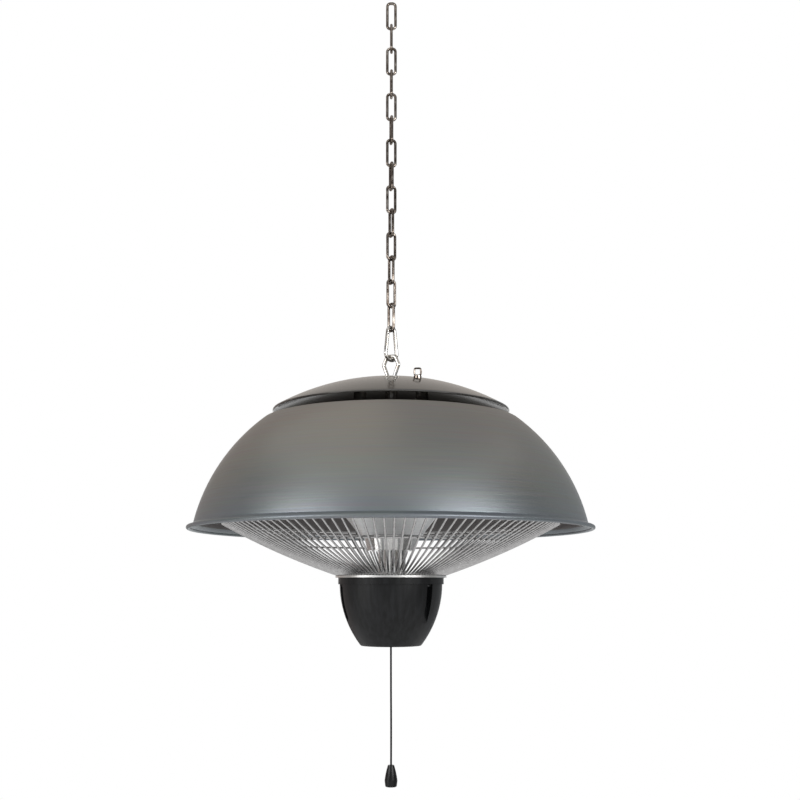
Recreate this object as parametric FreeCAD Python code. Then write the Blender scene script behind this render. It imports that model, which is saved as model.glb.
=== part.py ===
import FreeCAD, Part
import math
import os
from FreeCAD import Vector

os.makedirs("parts", exist_ok=True)

# Hanging patio heater: a spun shade with ring lamps, hung by an eye, a snap hook and a chain.
# Sizes are in millimetres. Heights are taken from the plane of the shade's rim; every piece is
# lowered at the end so that the hang point, inside the top of the first link, is the origin.

# Chain of welded long links
LINK_COUNT = 14
LINK_WIRE = 3.0
LINK_WIDTH = 12.0
LINK_INNER_LENGTH = 26.5
LINK_CORNER = 3.6
LINK_TWIST = 3.3
UNTWISTED_LINKS = 3
HANGING_GAP = 0.25

# Snap hook
HOOK_WIRE = 4.0
HOOK_LENGTH = 40.0
HOOK_TOP_WIDTH = 13.5
HOOK_BOTTOM_WIDTH = 19.0
HOOK_TURN = 40.0
TONGUE_THICKNESS = 1.6
TONGUE_CLEARANCE = 0.15
GATE_PIN = 1.5
GATE_PIN_DROP = 3.6
GATE_END_GAP = 0.25
NOSE_RISE = 2.0
NOSE_TONGUE = 3.0
GATE_SPRING = 1.6
GATE_SPRING_LENGTH = 7.0
RUNNING_CLEARANCE = 0.05

# Suspension eye: a bent rod with two threaded legs
EYE_WIRE = 4.0
EYE_HEIGHT = 28.3
EYE_WIDTH = 21.2
EYE_SHOULDER_HEIGHT = 17.0
EYE_NECK_HEIGHT = 5.0
EYE_TOP_RUN = 9.0
EYE_BEND = 3.6
EYE_LEG_SPACING = 8.0
EYE_TURN = -22.0
COLLAR_GAP = 0.6
COLLAR_HEIGHT = 2.2
LEG_CLEARANCE = 0.3

# Tether eye on the cap
TETHER_X = 27.2
TETHER_Y = -70.0
TETHER_WIRE = 1.8
TETHER_WIDTH = 8.6
TETHER_WAIST = 0.85
TETHER_BEND = 1.3
TETHER_HEIGHT = 10.4
TETHER_SHANK = 3.2
TETHER_FLANGE_D = 8.0
TETHER_FLANGE = 1.5
TETHER_REACH = 12.0

# Rain cap
CAP_R = 126.0
CAP_CREST = 160.7
CAP_CROWN = 247.0
CAP_WALL = 1.0
CAP_BEAD = 1.1
STUD_D = 5.0
STUD_RING_R = 37.5
STUD_ANGLE = 210.0
SPACER_D = 13.5

# Cable way: one grommet in the cap, one in the shade's top
CABLE_X = -37.0
CABLE_Y = 10.0
CABLE_BORE = 7.5
GROMMET_NECK = 12.0
GROMMET_FLANGE = 17.0
GROMMET_LIP = 2.0
GROMMET_CLEARANCE = 0.1

# Shade
RIM_R = 212.5
RIM_BEAD = 2.1
RIM_BEAD_HEIGHT = 0.6
SHADE_LIP = 7.1
SHADE_FOOT_HEIGHT = 5.0
SHADE_ARC = 193.5
SHADE_SHOULDER_R = 135.4
SHADE_TOP = 114.7
SHADE_WALL = 1.0
SHOULDER_ROUND = 4.0
VENT_COUNT = 12
VENT_D = 14.0
VENT_RING_R = 92.0
HANGER_R = 58.0
HANGER_THICKNESS = 2.0
BOLT_CLEARANCE = 0.2

# Nuts
NUT_FLATS_PER_BOLT = 1.75
NUT_HEIGHT_PER_BOLT = 0.8
BOLT_END = 1.0

# Terminal block under the hanger plate
TERMINAL_LENGTH = 28.0
TERMINAL_WIDTH = 12.0
TERMINAL_HEIGHT = 12.0
TERMINAL_X = -12.0
TERMINAL_Y = -36.0
TERMINAL_WAYS = 3
TERMINAL_BORE = 4.0

# Hub: plate, cup and pillars, hung on three stays
STAY_D = 8.0
STAY_BOLT = 4.0
STAY_RING_R = 20.0
STAY_ANGLE = 79.0
HUB_PLATE_THICKNESS = 2.0
HUB_PLATE_GAP = 0.8
CUP_TOP_R = 28.3
CUP_BOTTOM_R = 25.6
CUP_FLOOR = -21.7
CUP_WALL = 1.0
PILLAR_D = 11.5
PILLAR_BORE = 6.0
PILLAR_RING_R = 10.3
PILLAR_ANGLE = 19.0
PILLAR_LENGTH = 25.3
TIE_D = 4.0
BASE_R = 55.5
BASE_THICKNESS = 1.2

# Reflector: trumpet neck, vault over the lamps, edge against the shade
NECK_R = 33.0
NECK_HEIGHT = -6.2
NECK_FLANGE = 4.0
FLARE_R = 46.0
FLARE_HEIGHT = 10.8
VAULT_START_R = 72.0
VAULT_START_HEIGHT = 35.0
VAULT_R = 140.0
VAULT_HEIGHT = 60.0
VAULT_FULLNESS = 0.72
REFLECTOR_EDGE_HEIGHT = 44.0
REFLECTOR_WALL = 1.0
REFLECTOR_EDGE_GAP = 0.3

# Ring lamps
LAMP_INNER_R = 88.0
LAMP_OUTER_R = 122.0
LAMP_HEIGHT = 34.0
LAMP_D = 11.0
LAMP_WALL = 1.0
LAMP_OPENING = 30.0
LAMP_OPENING_TURN = 90.0
FILAMENT_D = 3.0
CERAMIC_D = 14.0
CERAMIC_LENGTH = 15.0
CLIP_WIRE = 1.6
CLIP_ANGLES = (-15.0, 195.0)
CLIP_POST = 3.0

# Guard
GUARD_WIRES = 112
GUARD_WIRE = 2.0
GUARD_OUTER_HEIGHT = 5.5
GUARD_SAG = 2.8
GUARD_INNER_R = 57.2
HOOP_WIRE = 3.0
HOOP_INSET = 1.5
CROSS_OUTER_R = 168.0
CROSS_INNER_R = 134.5
WIRE_OVERHANG = 8.5
GUARD_R = CROSS_OUTER_R + WIRE_OVERHANG
CROSS_WIRE = 2.2
WELD_GAP = 0.03
GUARD_COLLAR_R = 58.5
GUARD_COLLAR_BORE = 80.0
GUARD_COLLAR_THICKNESS = 2.0

# Switch housing
POT_LIP_R = 55.5
POT_LIP_HEIGHT = 6.8
POT_BODY_R = 54.0
POT_BELLY_R = 49.4
POT_BELLY_DROP = 36.3
POT_FOOT_R = 32.5
POT_DEPTH = 70.6
POT_FOOT_ROUND = 1.0
POT_WALL = 2.2
POT_MOUTH_R = 44.0
POT_FLANGE = 9.8
CHANNEL_FLOOR_R = 46.0
CHANNEL_WIDTH = 8.0
CHANNEL_ANGLE = 78.0
SCREW_D = 3.0
SCREW_HEAD = 6.0
SCREW_HEAD_HEIGHT = 2.4
SCREW_RING_R = 50.5
BUSH_BORE = 3.2
BUSH_D = 6.0
BUSH_FLANGE = 10.0
BUSH_LIP = 1.2

# Switch and its lever
LEVER_ARM = 15.0
LEVER_REST = 15.0
LEVER_PIVOT_DROP = 28.0
LEVER_WIDTH = 6.0
LEVER_THICKNESS = 1.6
LEVER_TIP = 4.5
LEVER_EYE = 3.0
LEVER_BARREL = 5.0
LEVER_PIN = 2.0
LEVER_SIDE_GAP = 0.3
SWITCH_WIDTH = 18.0
SWITCH_DEPTH = 21.0
SWITCH_HEIGHT = 28.0
BRACKET_THICKNESS = 1.5
BRACKET_FOOT = 14.0

# Pull cord and bell
CORD_D = 2.0
FERRULE_D = 5.0
FERRULE_GAP = 0.3
CORD_STRAIGHT_END = -160.0
CORD_BOW = 0.35
CORD_BOW_HEIGHT = -205.0
CORD_END_X = 0.2
CORD_END_HEIGHT = -250.0
CORD_ARC_SHARE = 0.45
BELL_TOP_R = 3.2
BELL_R = 6.7
BELL_MOUTH_R = 6.0
BELL_TOP = -243.7
BELL_HEIGHT = 21.8
BELL_WIDEST_DROP = 15.8

THIRDS = (0.0, 120.0, 240.0)
UP = Vector(0, 0, 1)


def polar(radius, degrees, height=0.0):
    """Point at a radius and angle about the heater's axis."""
    turn = math.radians(degrees)
    return Vector(radius * math.cos(turn), radius * math.sin(turn), height)


def section_point(radius, height):
    """Point of a half section, drawn in the XZ plane."""
    return Vector(radius, 0, height)


def line(start, end):
    return Part.LineSegment(start, end).toShape()


def arc(start, middle, end):
    return Part.Arc(start, middle, end).toShape()


def spin(edges):
    """Solid turned about Z from a closed half section."""
    return Part.Face(Part.Wire(edges)).revolve(Vector(0, 0, 0), UP, 360)


def closed_section(points):
    """Straight edges that join the points of a half section and close it."""
    return [line(points[i - 1], points[i]) for i in range(len(points))]


def cylinder(diameter, low, high, centre=Vector(0, 0, 0)):
    return Part.makeCylinder(diameter / 2, high - low, Vector(centre.x, centre.y, low))


def tube(diameter, bore, low, high, centre=Vector(0, 0, 0)):
    return cylinder(diameter, low, high, centre).cut(cylinder(bore, low, high, centre))


def turned(shape, degrees):
    """Copy of a shape turned about the heater's axis."""
    copy = shape.copy()
    copy.rotate(Vector(0, 0, 0), UP, degrees)
    return copy


def cut_all(shape, tools):
    for tool in tools:
        shape = shape.cut(tool)
    return shape


def bent_path(points, radii, closed=False):
    """Straight runs through the points, joined by tangent arcs of the given radii."""
    count = len(points)
    corners = range(count) if closed else range(1, count - 1)
    arcs = []
    for corner, radius in zip(corners, radii):
        at = points[corner]
        back = (points[corner - 1] - at).normalize()
        ahead = (points[(corner + 1) % count] - at).normalize()
        half = back.getAngle(ahead) / 2
        setback = radius / math.tan(half)
        middle = at + (back + ahead).normalize() * (radius / math.sin(half) - radius)
        arcs.append((at + back * setback, middle, at + ahead * setback))
    if closed:
        start = arcs[-1][2]
    else:
        start = points[0]
    edges = []
    for enter, middle, leave in arcs:
        edges.append(line(start, enter))
        edges.append(arc(enter, middle, leave))
        start = leave
    if not closed:
        edges.append(line(start, points[-1]))
    return Part.Wire(edges)


def rod(path, diameter):
    """Round rod along a path of runs and tangent arcs."""
    first = path.OrderedEdges[0]
    start = first.valueAt(first.FirstParameter)
    along = first.tangentAt(first.FirstParameter)
    ring = Part.Wire(Part.makeCircle(diameter / 2, start, along))
    return path.makePipeShell([ring], True, False)


def upright(across, height, turn):
    """Point of a flat bent piece that stands in the vertical plane at the given turn."""
    return polar(across, turn, height)


def nut(bolt, low, centre, flat_turn=30.0):
    """Plain hexagon nut on a bolt of the given diameter, with a flat that faces the given way."""
    corner_r = bolt * NUT_FLATS_PER_BOLT / math.sqrt(3)
    corners = [centre + polar(corner_r, flat_turn + 30.0 + 60.0 * i) for i in range(6)]
    for corner in corners:
        corner.z = low
    hexagon = Part.Face(Part.Wire(closed_section(corners)))
    height = bolt * NUT_HEIGHT_PER_BOLT
    return hexagon.extrude(UP * height).cut(cylinder(bolt, low, low + height, centre))


def round_edges(shape, radius_at, height_at, fillet):
    """Round the circular edges that lie at one radius and height."""
    edges = []
    for edge in shape.Edges:
        point = edge.valueAt(edge.FirstParameter)
        if abs(math.hypot(point.x, point.y) - radius_at) < 1e-3 and abs(point.z - height_at) < 1e-3:
            edges.append(edge)
    return shape.makeFillet(fillet, edges)


def save(name, *solids):
    """Write one node, lowered from the rim's frame to the hang point's."""
    if len(solids) == 1:
        shape = solids[0].copy()
    else:
        shape = Part.makeCompound([solid.copy() for solid in solids])
    shape.translate(Vector(0, 0, -HANG_HEIGHT))
    shape.exportStep(f"parts/{name}.step")


# Heights that follow from the sizes above, from the eye upwards
EYE_TOP = CAP_CREST + EYE_HEIGHT - EYE_WIRE / 2
HOOK_BOTTOM = EYE_TOP - (EYE_WIRE + HOOK_WIRE) / 2 - HANGING_GAP
HOOK_TOP = HOOK_BOTTOM + HOOK_LENGTH - HOOK_WIRE
LAST_LINK_BOTTOM = HOOK_TOP - (HOOK_WIRE + LINK_WIRE) / 2 - HANGING_GAP
LINK_PITCH = LINK_INNER_LENGTH - HANGING_GAP
LINK_LENGTH = LINK_INNER_LENGTH + LINK_WIRE
FIRST_LINK_BOTTOM = LAST_LINK_BOTTOM + LINK_PITCH * (LINK_COUNT - 1)
HANG_HEIGHT = FIRST_LINK_BOTTOM + LINK_LENGTH - LINK_WIRE / 2

# Levels of the plates below the shade's top and below the pillars
HANGER_TOP = SHADE_TOP - SHADE_WALL
HANGER_BOTTOM = HANGER_TOP - HANGER_THICKNESS
EYE_NUT_BOTTOM = HANGER_BOTTOM - EYE_WIRE * NUT_HEIGHT_PER_BOLT
HUB_PLATE_BOTTOM = NECK_HEIGHT + REFLECTOR_WALL
HUB_PLATE_TOP = HUB_PLATE_BOTTOM + HUB_PLATE_THICKNESS
BASE_TOP = CUP_FLOOR - PILLAR_LENGTH
BASE_BOTTOM = BASE_TOP - BASE_THICKNESS
COLLAR_BOTTOM = BASE_BOTTOM - GUARD_COLLAR_THICKNESS
POT_TOP = COLLAR_BOTTOM
POT_BOTTOM = POT_TOP - POT_DEPTH

# Fasteners: the two leg collars stand side by side, the rest sit on rings
COLLAR_D = EYE_LEG_SPACING - COLLAR_GAP
EYE_LEGS = [polar(side * EYE_LEG_SPACING / 2, EYE_TURN) for side in (1, -1)]
STUDS = [polar(STUD_RING_R, STUD_ANGLE + turn) for turn in THIRDS]
STAYS = [polar(STAY_RING_R, STAY_ANGLE + turn) for turn in THIRDS]
TIES = [polar(PILLAR_RING_R, PILLAR_ANGLE + turn) for turn in THIRDS]
SCREWS = [polar(SCREW_RING_R, CHANNEL_ANGLE + turn) for turn in THIRDS]
CABLE = Vector(CABLE_X, CABLE_Y, 0)
TETHER = Vector(TETHER_X, TETHER_Y, 0)
CAP_CENTRE = Vector(0, 0, CAP_CREST - CAP_CROWN)


def bolt_holes(centres, bolt, low, high):
    return [cylinder(bolt + BOLT_CLEARANCE, low, high, centre) for centre in centres]


def link_turn(number):
    """Turn of a link's flat about Z: every second link is crosswise, and the chain twists slowly."""
    twist = LINK_TWIST * max(0, number - UNTWISTED_LINKS)
    crosswise = 90.0 if number % 2 == 0 else 0.0
    return twist + crosswise


def chain_link(number):
    bottom = LAST_LINK_BOTTOM + LINK_PITCH * (LINK_COUNT - number)
    half = (LINK_WIDTH - LINK_WIRE) / 2
    top = bottom + LINK_LENGTH
    corners = ((-half, bottom), (half, bottom), (half, top), (-half, top))
    points = [upright(across, height, link_turn(number)) for across, height in corners]
    return rod(bent_path(points, [LINK_CORNER] * len(points), closed=True), LINK_WIRE)


for number in range(1, LINK_COUNT + 1):
    save(f"chain_link_{number:02d}", chain_link(number))


# Snap hook: a pear of bent wire, narrow end up, whose left side is the sprung gate
HOOK_TOP_BEND = (HOOK_TOP_WIDTH - HOOK_WIRE) / 2
HOOK_BOTTOM_BEND = (HOOK_BOTTOM_WIDTH - HOOK_WIRE) / 2
HOOK_TOP_CENTRE = HOOK_TOP - HOOK_TOP_BEND
HOOK_BOTTOM_CENTRE = HOOK_BOTTOM + HOOK_BOTTOM_BEND
HOOK_LEAN = math.asin((HOOK_BOTTOM_BEND - HOOK_TOP_BEND) / (HOOK_TOP_CENTRE - HOOK_BOTTOM_CENTRE))
HOOK_NORMAL = polar(1.0, HOOK_TURN - 90.0)


def hook_side(centre_height, bend, side):
    """Point where a side of the pear leaves the bend about the given centre."""
    return upright(side * bend * math.cos(HOOK_LEAN), centre_height + bend * math.sin(HOOK_LEAN), HOOK_TURN)


GATE_UPPER = hook_side(HOOK_TOP_CENTRE, HOOK_TOP_BEND, -1)
GATE_LOWER = hook_side(HOOK_BOTTOM_CENTRE, HOOK_BOTTOM_BEND, -1)
GATE_DOWN = (GATE_LOWER - GATE_UPPER).normalize()
GATE_PIVOT = GATE_UPPER + GATE_DOWN * GATE_PIN_DROP
HINGE_SHOULDER = GATE_PIVOT - GATE_DOWN * (HOOK_WIRE / 2 + GATE_END_GAP)
NOSE_SHOULDER = GATE_LOWER - GATE_DOWN * NOSE_RISE


def gate_slab(start, length, thickness):
    """Flat slab in the plane of the hook, laid along the gate, that cuts slots and tongues."""
    across = HOOK_NORMAL.cross(GATE_DOWN)
    corner = start - across * HOOK_WIRE - HOOK_NORMAL * (thickness / 2)
    edge_a = across * (2 * HOOK_WIRE)
    edge_b = GATE_DOWN * length
    outline = [corner, corner + edge_a, corner + edge_a + edge_b, corner + edge_b]
    return Part.Face(Part.Wire(closed_section(outline))).extrude(HOOK_NORMAL * thickness)


def gate_round(diameter, length=2 * HOOK_WIRE):
    """Cylinder about the gate's pin."""
    start = GATE_PIVOT - HOOK_NORMAL * (length / 2)
    return Part.makeCylinder(diameter / 2, length, start, HOOK_NORMAL)


def snap_hook_body():
    right_low = hook_side(HOOK_BOTTOM_CENTRE, HOOK_BOTTOM_BEND, 1)
    right_high = hook_side(HOOK_TOP_CENTRE, HOOK_TOP_BEND, 1)
    path = Part.Wire([
        line(NOSE_SHOULDER, GATE_LOWER),
        arc(GATE_LOWER, Vector(0, 0, HOOK_BOTTOM), right_low),
        line(right_low, right_high),
        arc(right_high, Vector(0, 0, HOOK_TOP), GATE_UPPER),
        line(GATE_UPPER, HINGE_SHOULDER),
    ])
    body = rod(path, HOOK_WIRE)
    hinge_length = (GATE_PIVOT - HINGE_SHOULDER).Length
    hinge = Part.makeCylinder(HOOK_WIRE / 2, hinge_length, HINGE_SHOULDER, GATE_DOWN)
    hinge = hinge.fuse(gate_round(HOOK_WIRE))
    hinge = hinge.common(gate_slab(HINGE_SHOULDER, hinge_length + HOOK_WIRE, TONGUE_THICKNESS))
    nose_up = GATE_DOWN * -1
    nose = Part.makeCylinder(HOOK_WIRE / 2, NOSE_TONGUE, NOSE_SHOULDER, nose_up)
    nose = nose.common(gate_slab(NOSE_SHOULDER + nose_up * NOSE_TONGUE, NOSE_TONGUE, TONGUE_THICKNESS))
    body = body.fuse([hinge, nose]).removeSplitter()
    return body.cut(gate_round(GATE_PIN))


def snap_hook_gate():
    slot = TONGUE_THICKNESS + 2 * TONGUE_CLEARANCE
    end = NOSE_SHOULDER - GATE_DOWN * GATE_END_GAP
    length = (end - GATE_PIVOT).Length
    gate = Part.makeCylinder(HOOK_WIRE / 2, length, GATE_PIVOT, GATE_DOWN)
    head = gate_round(HOOK_WIRE).common(
        Part.makeCylinder(HOOK_WIRE / 2, HOOK_WIRE, GATE_PIVOT - GATE_DOWN * (HOOK_WIRE / 2), GATE_DOWN))
    gate = gate.fuse(head).removeSplitter()
    top_slot = gate_slab(GATE_PIVOT - GATE_DOWN * HOOK_WIRE, 1.5 * HOOK_WIRE + GATE_END_GAP, slot)
    nose_slot = gate_slab(end - GATE_DOWN * (NOSE_TONGUE + GATE_END_GAP), NOSE_TONGUE + HOOK_WIRE, slot)
    bore_depth = HOOK_WIRE / 2 + GATE_END_GAP + GATE_SPRING_LENGTH
    bore = Part.makeCylinder(GATE_SPRING / 2 + RUNNING_CLEARANCE, bore_depth, GATE_PIVOT, GATE_DOWN)
    pin_hole = gate_round(GATE_PIN + 2 * RUNNING_CLEARANCE)
    return cut_all(gate, [top_slot, nose_slot, bore, pin_hole])


def snap_hook_spring():
    start = GATE_PIVOT + GATE_DOWN * (HOOK_WIRE / 2 + GATE_END_GAP)
    return Part.makeCylinder(GATE_SPRING / 2, GATE_SPRING_LENGTH, start, GATE_DOWN)


save("snap_hook_body", snap_hook_body())
save("snap_hook_gate", snap_hook_gate())
save("snap_hook_pin", gate_round(GATE_PIN, HOOK_WIRE))
save("snap_hook_spring", snap_hook_spring())


# Suspension eye: six-sided loop over two straight legs
def suspension_eye():
    leg = EYE_LEG_SPACING / 2
    wide = (EYE_WIDTH - EYE_WIRE) / 2
    run = EYE_TOP_RUN / 2
    foot = EYE_NUT_BOTTOM - BOLT_END
    neck = CAP_CREST + EYE_NECK_HEIGHT
    shoulder = CAP_CREST + EYE_SHOULDER_HEIGHT
    half = [(leg, foot), (leg, neck), (wide, shoulder), (run, EYE_TOP)]
    outline = half + [(-across, height) for across, height in reversed(half)]
    points = [upright(across, height, EYE_TURN) for across, height in outline]
    return rod(bent_path(points, [EYE_BEND] * (len(points) - 2)), EYE_WIRE)


CAP_OUTSIDE = Part.makeSphere(CAP_CROWN, CAP_CENTRE)
CAP_INSIDE = Part.makeSphere(CAP_CROWN - CAP_WALL, CAP_CENTRE)
LEG_HOLE = EYE_WIRE + 2 * LEG_CLEARANCE


def eye_collar(centre):
    ring = tube(COLLAR_D, LEG_HOLE, SHADE_TOP, CAP_CREST + COLLAR_HEIGHT, centre)
    return ring.cut(CAP_OUTSIDE)


save("suspension_eye", suspension_eye())
save("eye_collars", *[eye_collar(leg) for leg in EYE_LEGS])
save("eye_nuts", *[nut(EYE_WIRE, EYE_NUT_BOTTOM, leg, EYE_TURN) for leg in EYE_LEGS])


# Tether eye: small loop on a threaded shank through the cap
def cap_height(centre, crown):
    """Height of the cap's crown surface over a point."""
    return CAP_CENTRE.z + math.sqrt(crown ** 2 - centre.x ** 2 - centre.y ** 2)


TETHER_SEAT = cap_height(TETHER, CAP_CROWN) + TETHER_FLANGE
TETHER_FOOT = TETHER_SEAT - TETHER_REACH


def tether_eye():
    top = TETHER_SEAT + TETHER_HEIGHT - TETHER_FLANGE - TETHER_WIRE / 2
    low = TETHER_SEAT + TETHER_WIRE / 2
    wide = (TETHER_WIDTH - TETHER_WIRE) / 2
    narrow = wide * TETHER_WAIST
    middle = (top + low) / 2
    outline = [(-narrow, low), (narrow, low), (wide, middle), (narrow, top), (-narrow, top), (-wide, middle)]
    points = [TETHER + Vector(across, 0, height) for across, height in outline]
    loop = rod(bent_path(points, [TETHER_BEND] * len(points), closed=True), TETHER_WIRE)
    flange = cylinder(TETHER_FLANGE_D, SHADE_TOP, TETHER_SEAT, TETHER).cut(CAP_OUTSIDE)
    shank = cylinder(TETHER_SHANK, TETHER_FOOT, low, TETHER)
    return loop.fuse([flange, shank]).removeSplitter()


def tether_nut():
    outermost = TETHER * (1 + TETHER_SHANK * NUT_FLATS_PER_BOLT / TETHER.Length)
    seat = cap_height(outermost, CAP_CROWN - CAP_WALL)
    return nut(TETHER_SHANK, seat - TETHER_SHANK * NUT_HEIGHT_PER_BOLT, TETHER)


save("tether_eye", tether_eye())
save("tether_nut", tether_nut())


# Rain cap: shallow spun crown with a rolled edge, on three studs in spacer tubes
CABLE_OUT = (CABLE + UP * cap_height(CABLE, CAP_CROWN - CAP_WALL) - CAP_CENTRE).normalize()
CABLE_SEAT = CAP_CENTRE + CABLE_OUT * CAP_CROWN


def rain_cap():
    bead_r = CAP_R - CAP_BEAD
    lean = math.asin(bead_r / (CAP_CROWN - CAP_BEAD))

    def crown_point(crown, angle):
        return section_point(crown * math.sin(angle), CAP_CENTRE.z + crown * math.cos(angle))

    inside = CAP_CROWN - CAP_WALL
    crown = spin([
        arc(crown_point(CAP_CROWN, 0), crown_point(CAP_CROWN, lean / 2), crown_point(CAP_CROWN, lean)),
        line(crown_point(CAP_CROWN, lean), crown_point(inside, lean)),
        arc(crown_point(inside, lean), crown_point(inside, lean / 2), crown_point(inside, 0)),
        line(crown_point(inside, 0), crown_point(CAP_CROWN, 0)),
    ])
    bead_centre = crown_point(CAP_CROWN - CAP_BEAD, lean)
    cap = crown.fuse(Part.makeTorus(bead_r, CAP_BEAD, Vector(0, 0, bead_centre.z)))
    holes = [cylinder(LEG_HOLE, SHADE_TOP, CAP_CREST, leg) for leg in EYE_LEGS]
    holes.append(cylinder(TETHER_SHANK + BOLT_CLEARANCE, SHADE_TOP, CAP_CREST, TETHER))
    hole_depth = 4 * CAP_WALL
    holes.append(Part.makeCylinder(GROMMET_NECK / 2 + GROMMET_CLEARANCE, hole_depth,
                                   CABLE_SEAT - CABLE_OUT * (hole_depth / 2), CABLE_OUT))
    return cut_all(cap, holes)


STUD_FOOT = HANGER_BOTTOM - STUD_D * NUT_HEIGHT_PER_BOLT - BOLT_END
save("rain_cap", rain_cap())
save("cap_studs", *[cylinder(STUD_D, STUD_FOOT, CAP_CREST, stud).common(CAP_INSIDE) for stud in STUDS])
save("cap_spacers", *[tube(SPACER_D, STUD_D + BOLT_CLEARANCE, SHADE_TOP, CAP_CREST, stud).common(CAP_INSIDE)
                      for stud in STUDS])
save("cap_nuts", *[nut(STUD_D, HANGER_BOTTOM - STUD_D * NUT_HEIGHT_PER_BOLT, stud) for stud in STUDS])


# Rubber grommets that line the cable's way through a sheet of the given thickness
def grommet(thickness):
    """Grommet about Z, its sheet lying below the origin."""
    bore = CABLE_BORE / 2
    neck = GROMMET_NECK / 2
    flange = GROMMET_FLANGE / 2
    upper = GROMMET_CLEARANCE
    lower = -thickness - GROMMET_CLEARANCE
    return spin(closed_section([
        section_point(bore, lower - GROMMET_LIP),
        section_point(flange, lower - GROMMET_LIP),
        section_point(flange, lower),
        section_point(neck, lower),
        section_point(neck, upper),
        section_point(flange, upper),
        section_point(neck, upper + GROMMET_LIP),
        section_point(bore, upper + GROMMET_LIP),
    ]))


def cable_grommet():
    dished = (GROMMET_FLANGE / 2) ** 2 / (2 * CAP_CROWN)
    piece = grommet(CAP_WALL + dished)
    piece.Placement = FreeCAD.Placement(CABLE_SEAT, FreeCAD.Rotation(UP, CABLE_OUT))
    return piece


def shade_grommet():
    piece = grommet(SHADE_WALL + HANGER_THICKNESS)
    piece.translate(CABLE + UP * SHADE_TOP)
    return piece


save("cable_grommet", cable_grommet())
save("shade_grommet", shade_grommet())


# Shade: spun dome with a flat vented top, a flared lip and a rolled rim
def shade_centre():
    foot = Vector(RIM_R - SHADE_LIP, 0, SHADE_FOOT_HEIGHT)
    shoulder = Vector(SHADE_SHOULDER_R, 0, SHADE_TOP)
    chord = shoulder - foot
    reach = math.sqrt(SHADE_ARC ** 2 - (chord.Length / 2) ** 2)
    inwards = Vector(-chord.z, 0, chord.x).normalize()
    return (foot + shoulder) * 0.5 + inwards * reach


SHADE_CENTRE = shade_centre()


def shade_radius(height, inset):
    """Radius of the shade's side at a height, inset from the outside."""
    return SHADE_CENTRE.x + math.sqrt((SHADE_ARC - inset) ** 2 - (height - SHADE_CENTRE.z) ** 2)


def shade_point(height, inset):
    return section_point(shade_radius(height, inset), height)


def bead_meets(centre, inset, foot):
    """Where a side of the lip, inset from the bead's centre, runs into the bead."""
    start = centre - Vector(inset, 0, 0)
    along = (foot - start).normalize()
    shift = inset * along.x
    return start + along * (shift + math.sqrt(shift ** 2 - inset ** 2 + RIM_BEAD ** 2))


def shade():
    inner_top = SHADE_TOP - SHADE_WALL
    middle = (SHADE_TOP + SHADE_FOOT_HEIGHT) / 2
    bead_centre = section_point(RIM_R - RIM_BEAD, RIM_BEAD_HEIGHT)
    foot = shade_point(SHADE_FOOT_HEIGHT, 0)
    foot_inside = shade_point(SHADE_FOOT_HEIGHT, SHADE_WALL)
    bead_start = bead_meets(bead_centre, 0, foot)
    bead_end = bead_meets(bead_centre, SHADE_WALL, foot_inside)
    outwards = bead_centre - (bead_start + bead_end) * 0.5
    bead_far = bead_centre + outwards.normalize() * RIM_BEAD
    shoulder = shade_point(SHADE_TOP, 0)
    shoulder_inside = shade_point(inner_top, SHADE_WALL)
    shell = spin([
        line(section_point(0, inner_top), section_point(0, SHADE_TOP)),
        line(section_point(0, SHADE_TOP), shoulder),
        arc(shoulder, shade_point(middle, 0), foot),
        line(foot, bead_start),
        arc(bead_start, bead_far, bead_end),
        line(bead_end, foot_inside),
        arc(foot_inside, shade_point(middle, SHADE_WALL), shoulder_inside),
        line(shoulder_inside, section_point(0, inner_top)),
    ])
    shell = round_edges(shell, shoulder.x, SHADE_TOP, SHOULDER_ROUND)
    shell = round_edges(shell, shoulder_inside.x, inner_top, SHOULDER_ROUND - SHADE_WALL)
    vent_centres = [polar(VENT_RING_R, 360.0 * i / VENT_COUNT) for i in range(VENT_COUNT)]
    vents = [cylinder(VENT_D, inner_top, SHADE_TOP, centre) for centre in vent_centres]
    return cut_all(shell, vents + top_holes(inner_top, SHADE_TOP))


def top_holes(low, high):
    """Holes shared by the shade's top and the hanger plate below it."""
    holes = bolt_holes(STUDS, STUD_D, low, high) + bolt_holes(STAYS, STAY_BOLT, low, high)
    holes += bolt_holes(EYE_LEGS, EYE_WIRE, low, high)
    holes.append(cylinder(GROMMET_NECK + 2 * GROMMET_CLEARANCE, low, high, CABLE))
    return holes


def hanger_plate():
    plate = cylinder(2 * HANGER_R, HANGER_BOTTOM, HANGER_TOP)
    return cut_all(plate, top_holes(HANGER_BOTTOM, HANGER_TOP))


def terminal_block():
    corner = Vector(TERMINAL_X - TERMINAL_LENGTH / 2, TERMINAL_Y - TERMINAL_WIDTH / 2, HANGER_BOTTOM)
    corner.z -= TERMINAL_HEIGHT
    block = Part.makeBox(TERMINAL_LENGTH, TERMINAL_WIDTH, TERMINAL_HEIGHT, corner)
    step = TERMINAL_LENGTH / TERMINAL_WAYS
    ways = [Part.makeCylinder(TERMINAL_BORE / 2, TERMINAL_WIDTH,
                              corner + Vector(step * (way + 0.5), 0, TERMINAL_HEIGHT / 2), Vector(0, 1, 0))
            for way in range(TERMINAL_WAYS)]
    return cut_all(block, ways)


save("shade", shade())
save("hanger_plate", hanger_plate())
save("terminal_block", terminal_block())


# Stays: rods that carry the hub from the hanger plate, with a threaded end through each plate
STAY_NUT_HEIGHT = STAY_BOLT * NUT_HEIGHT_PER_BOLT


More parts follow.
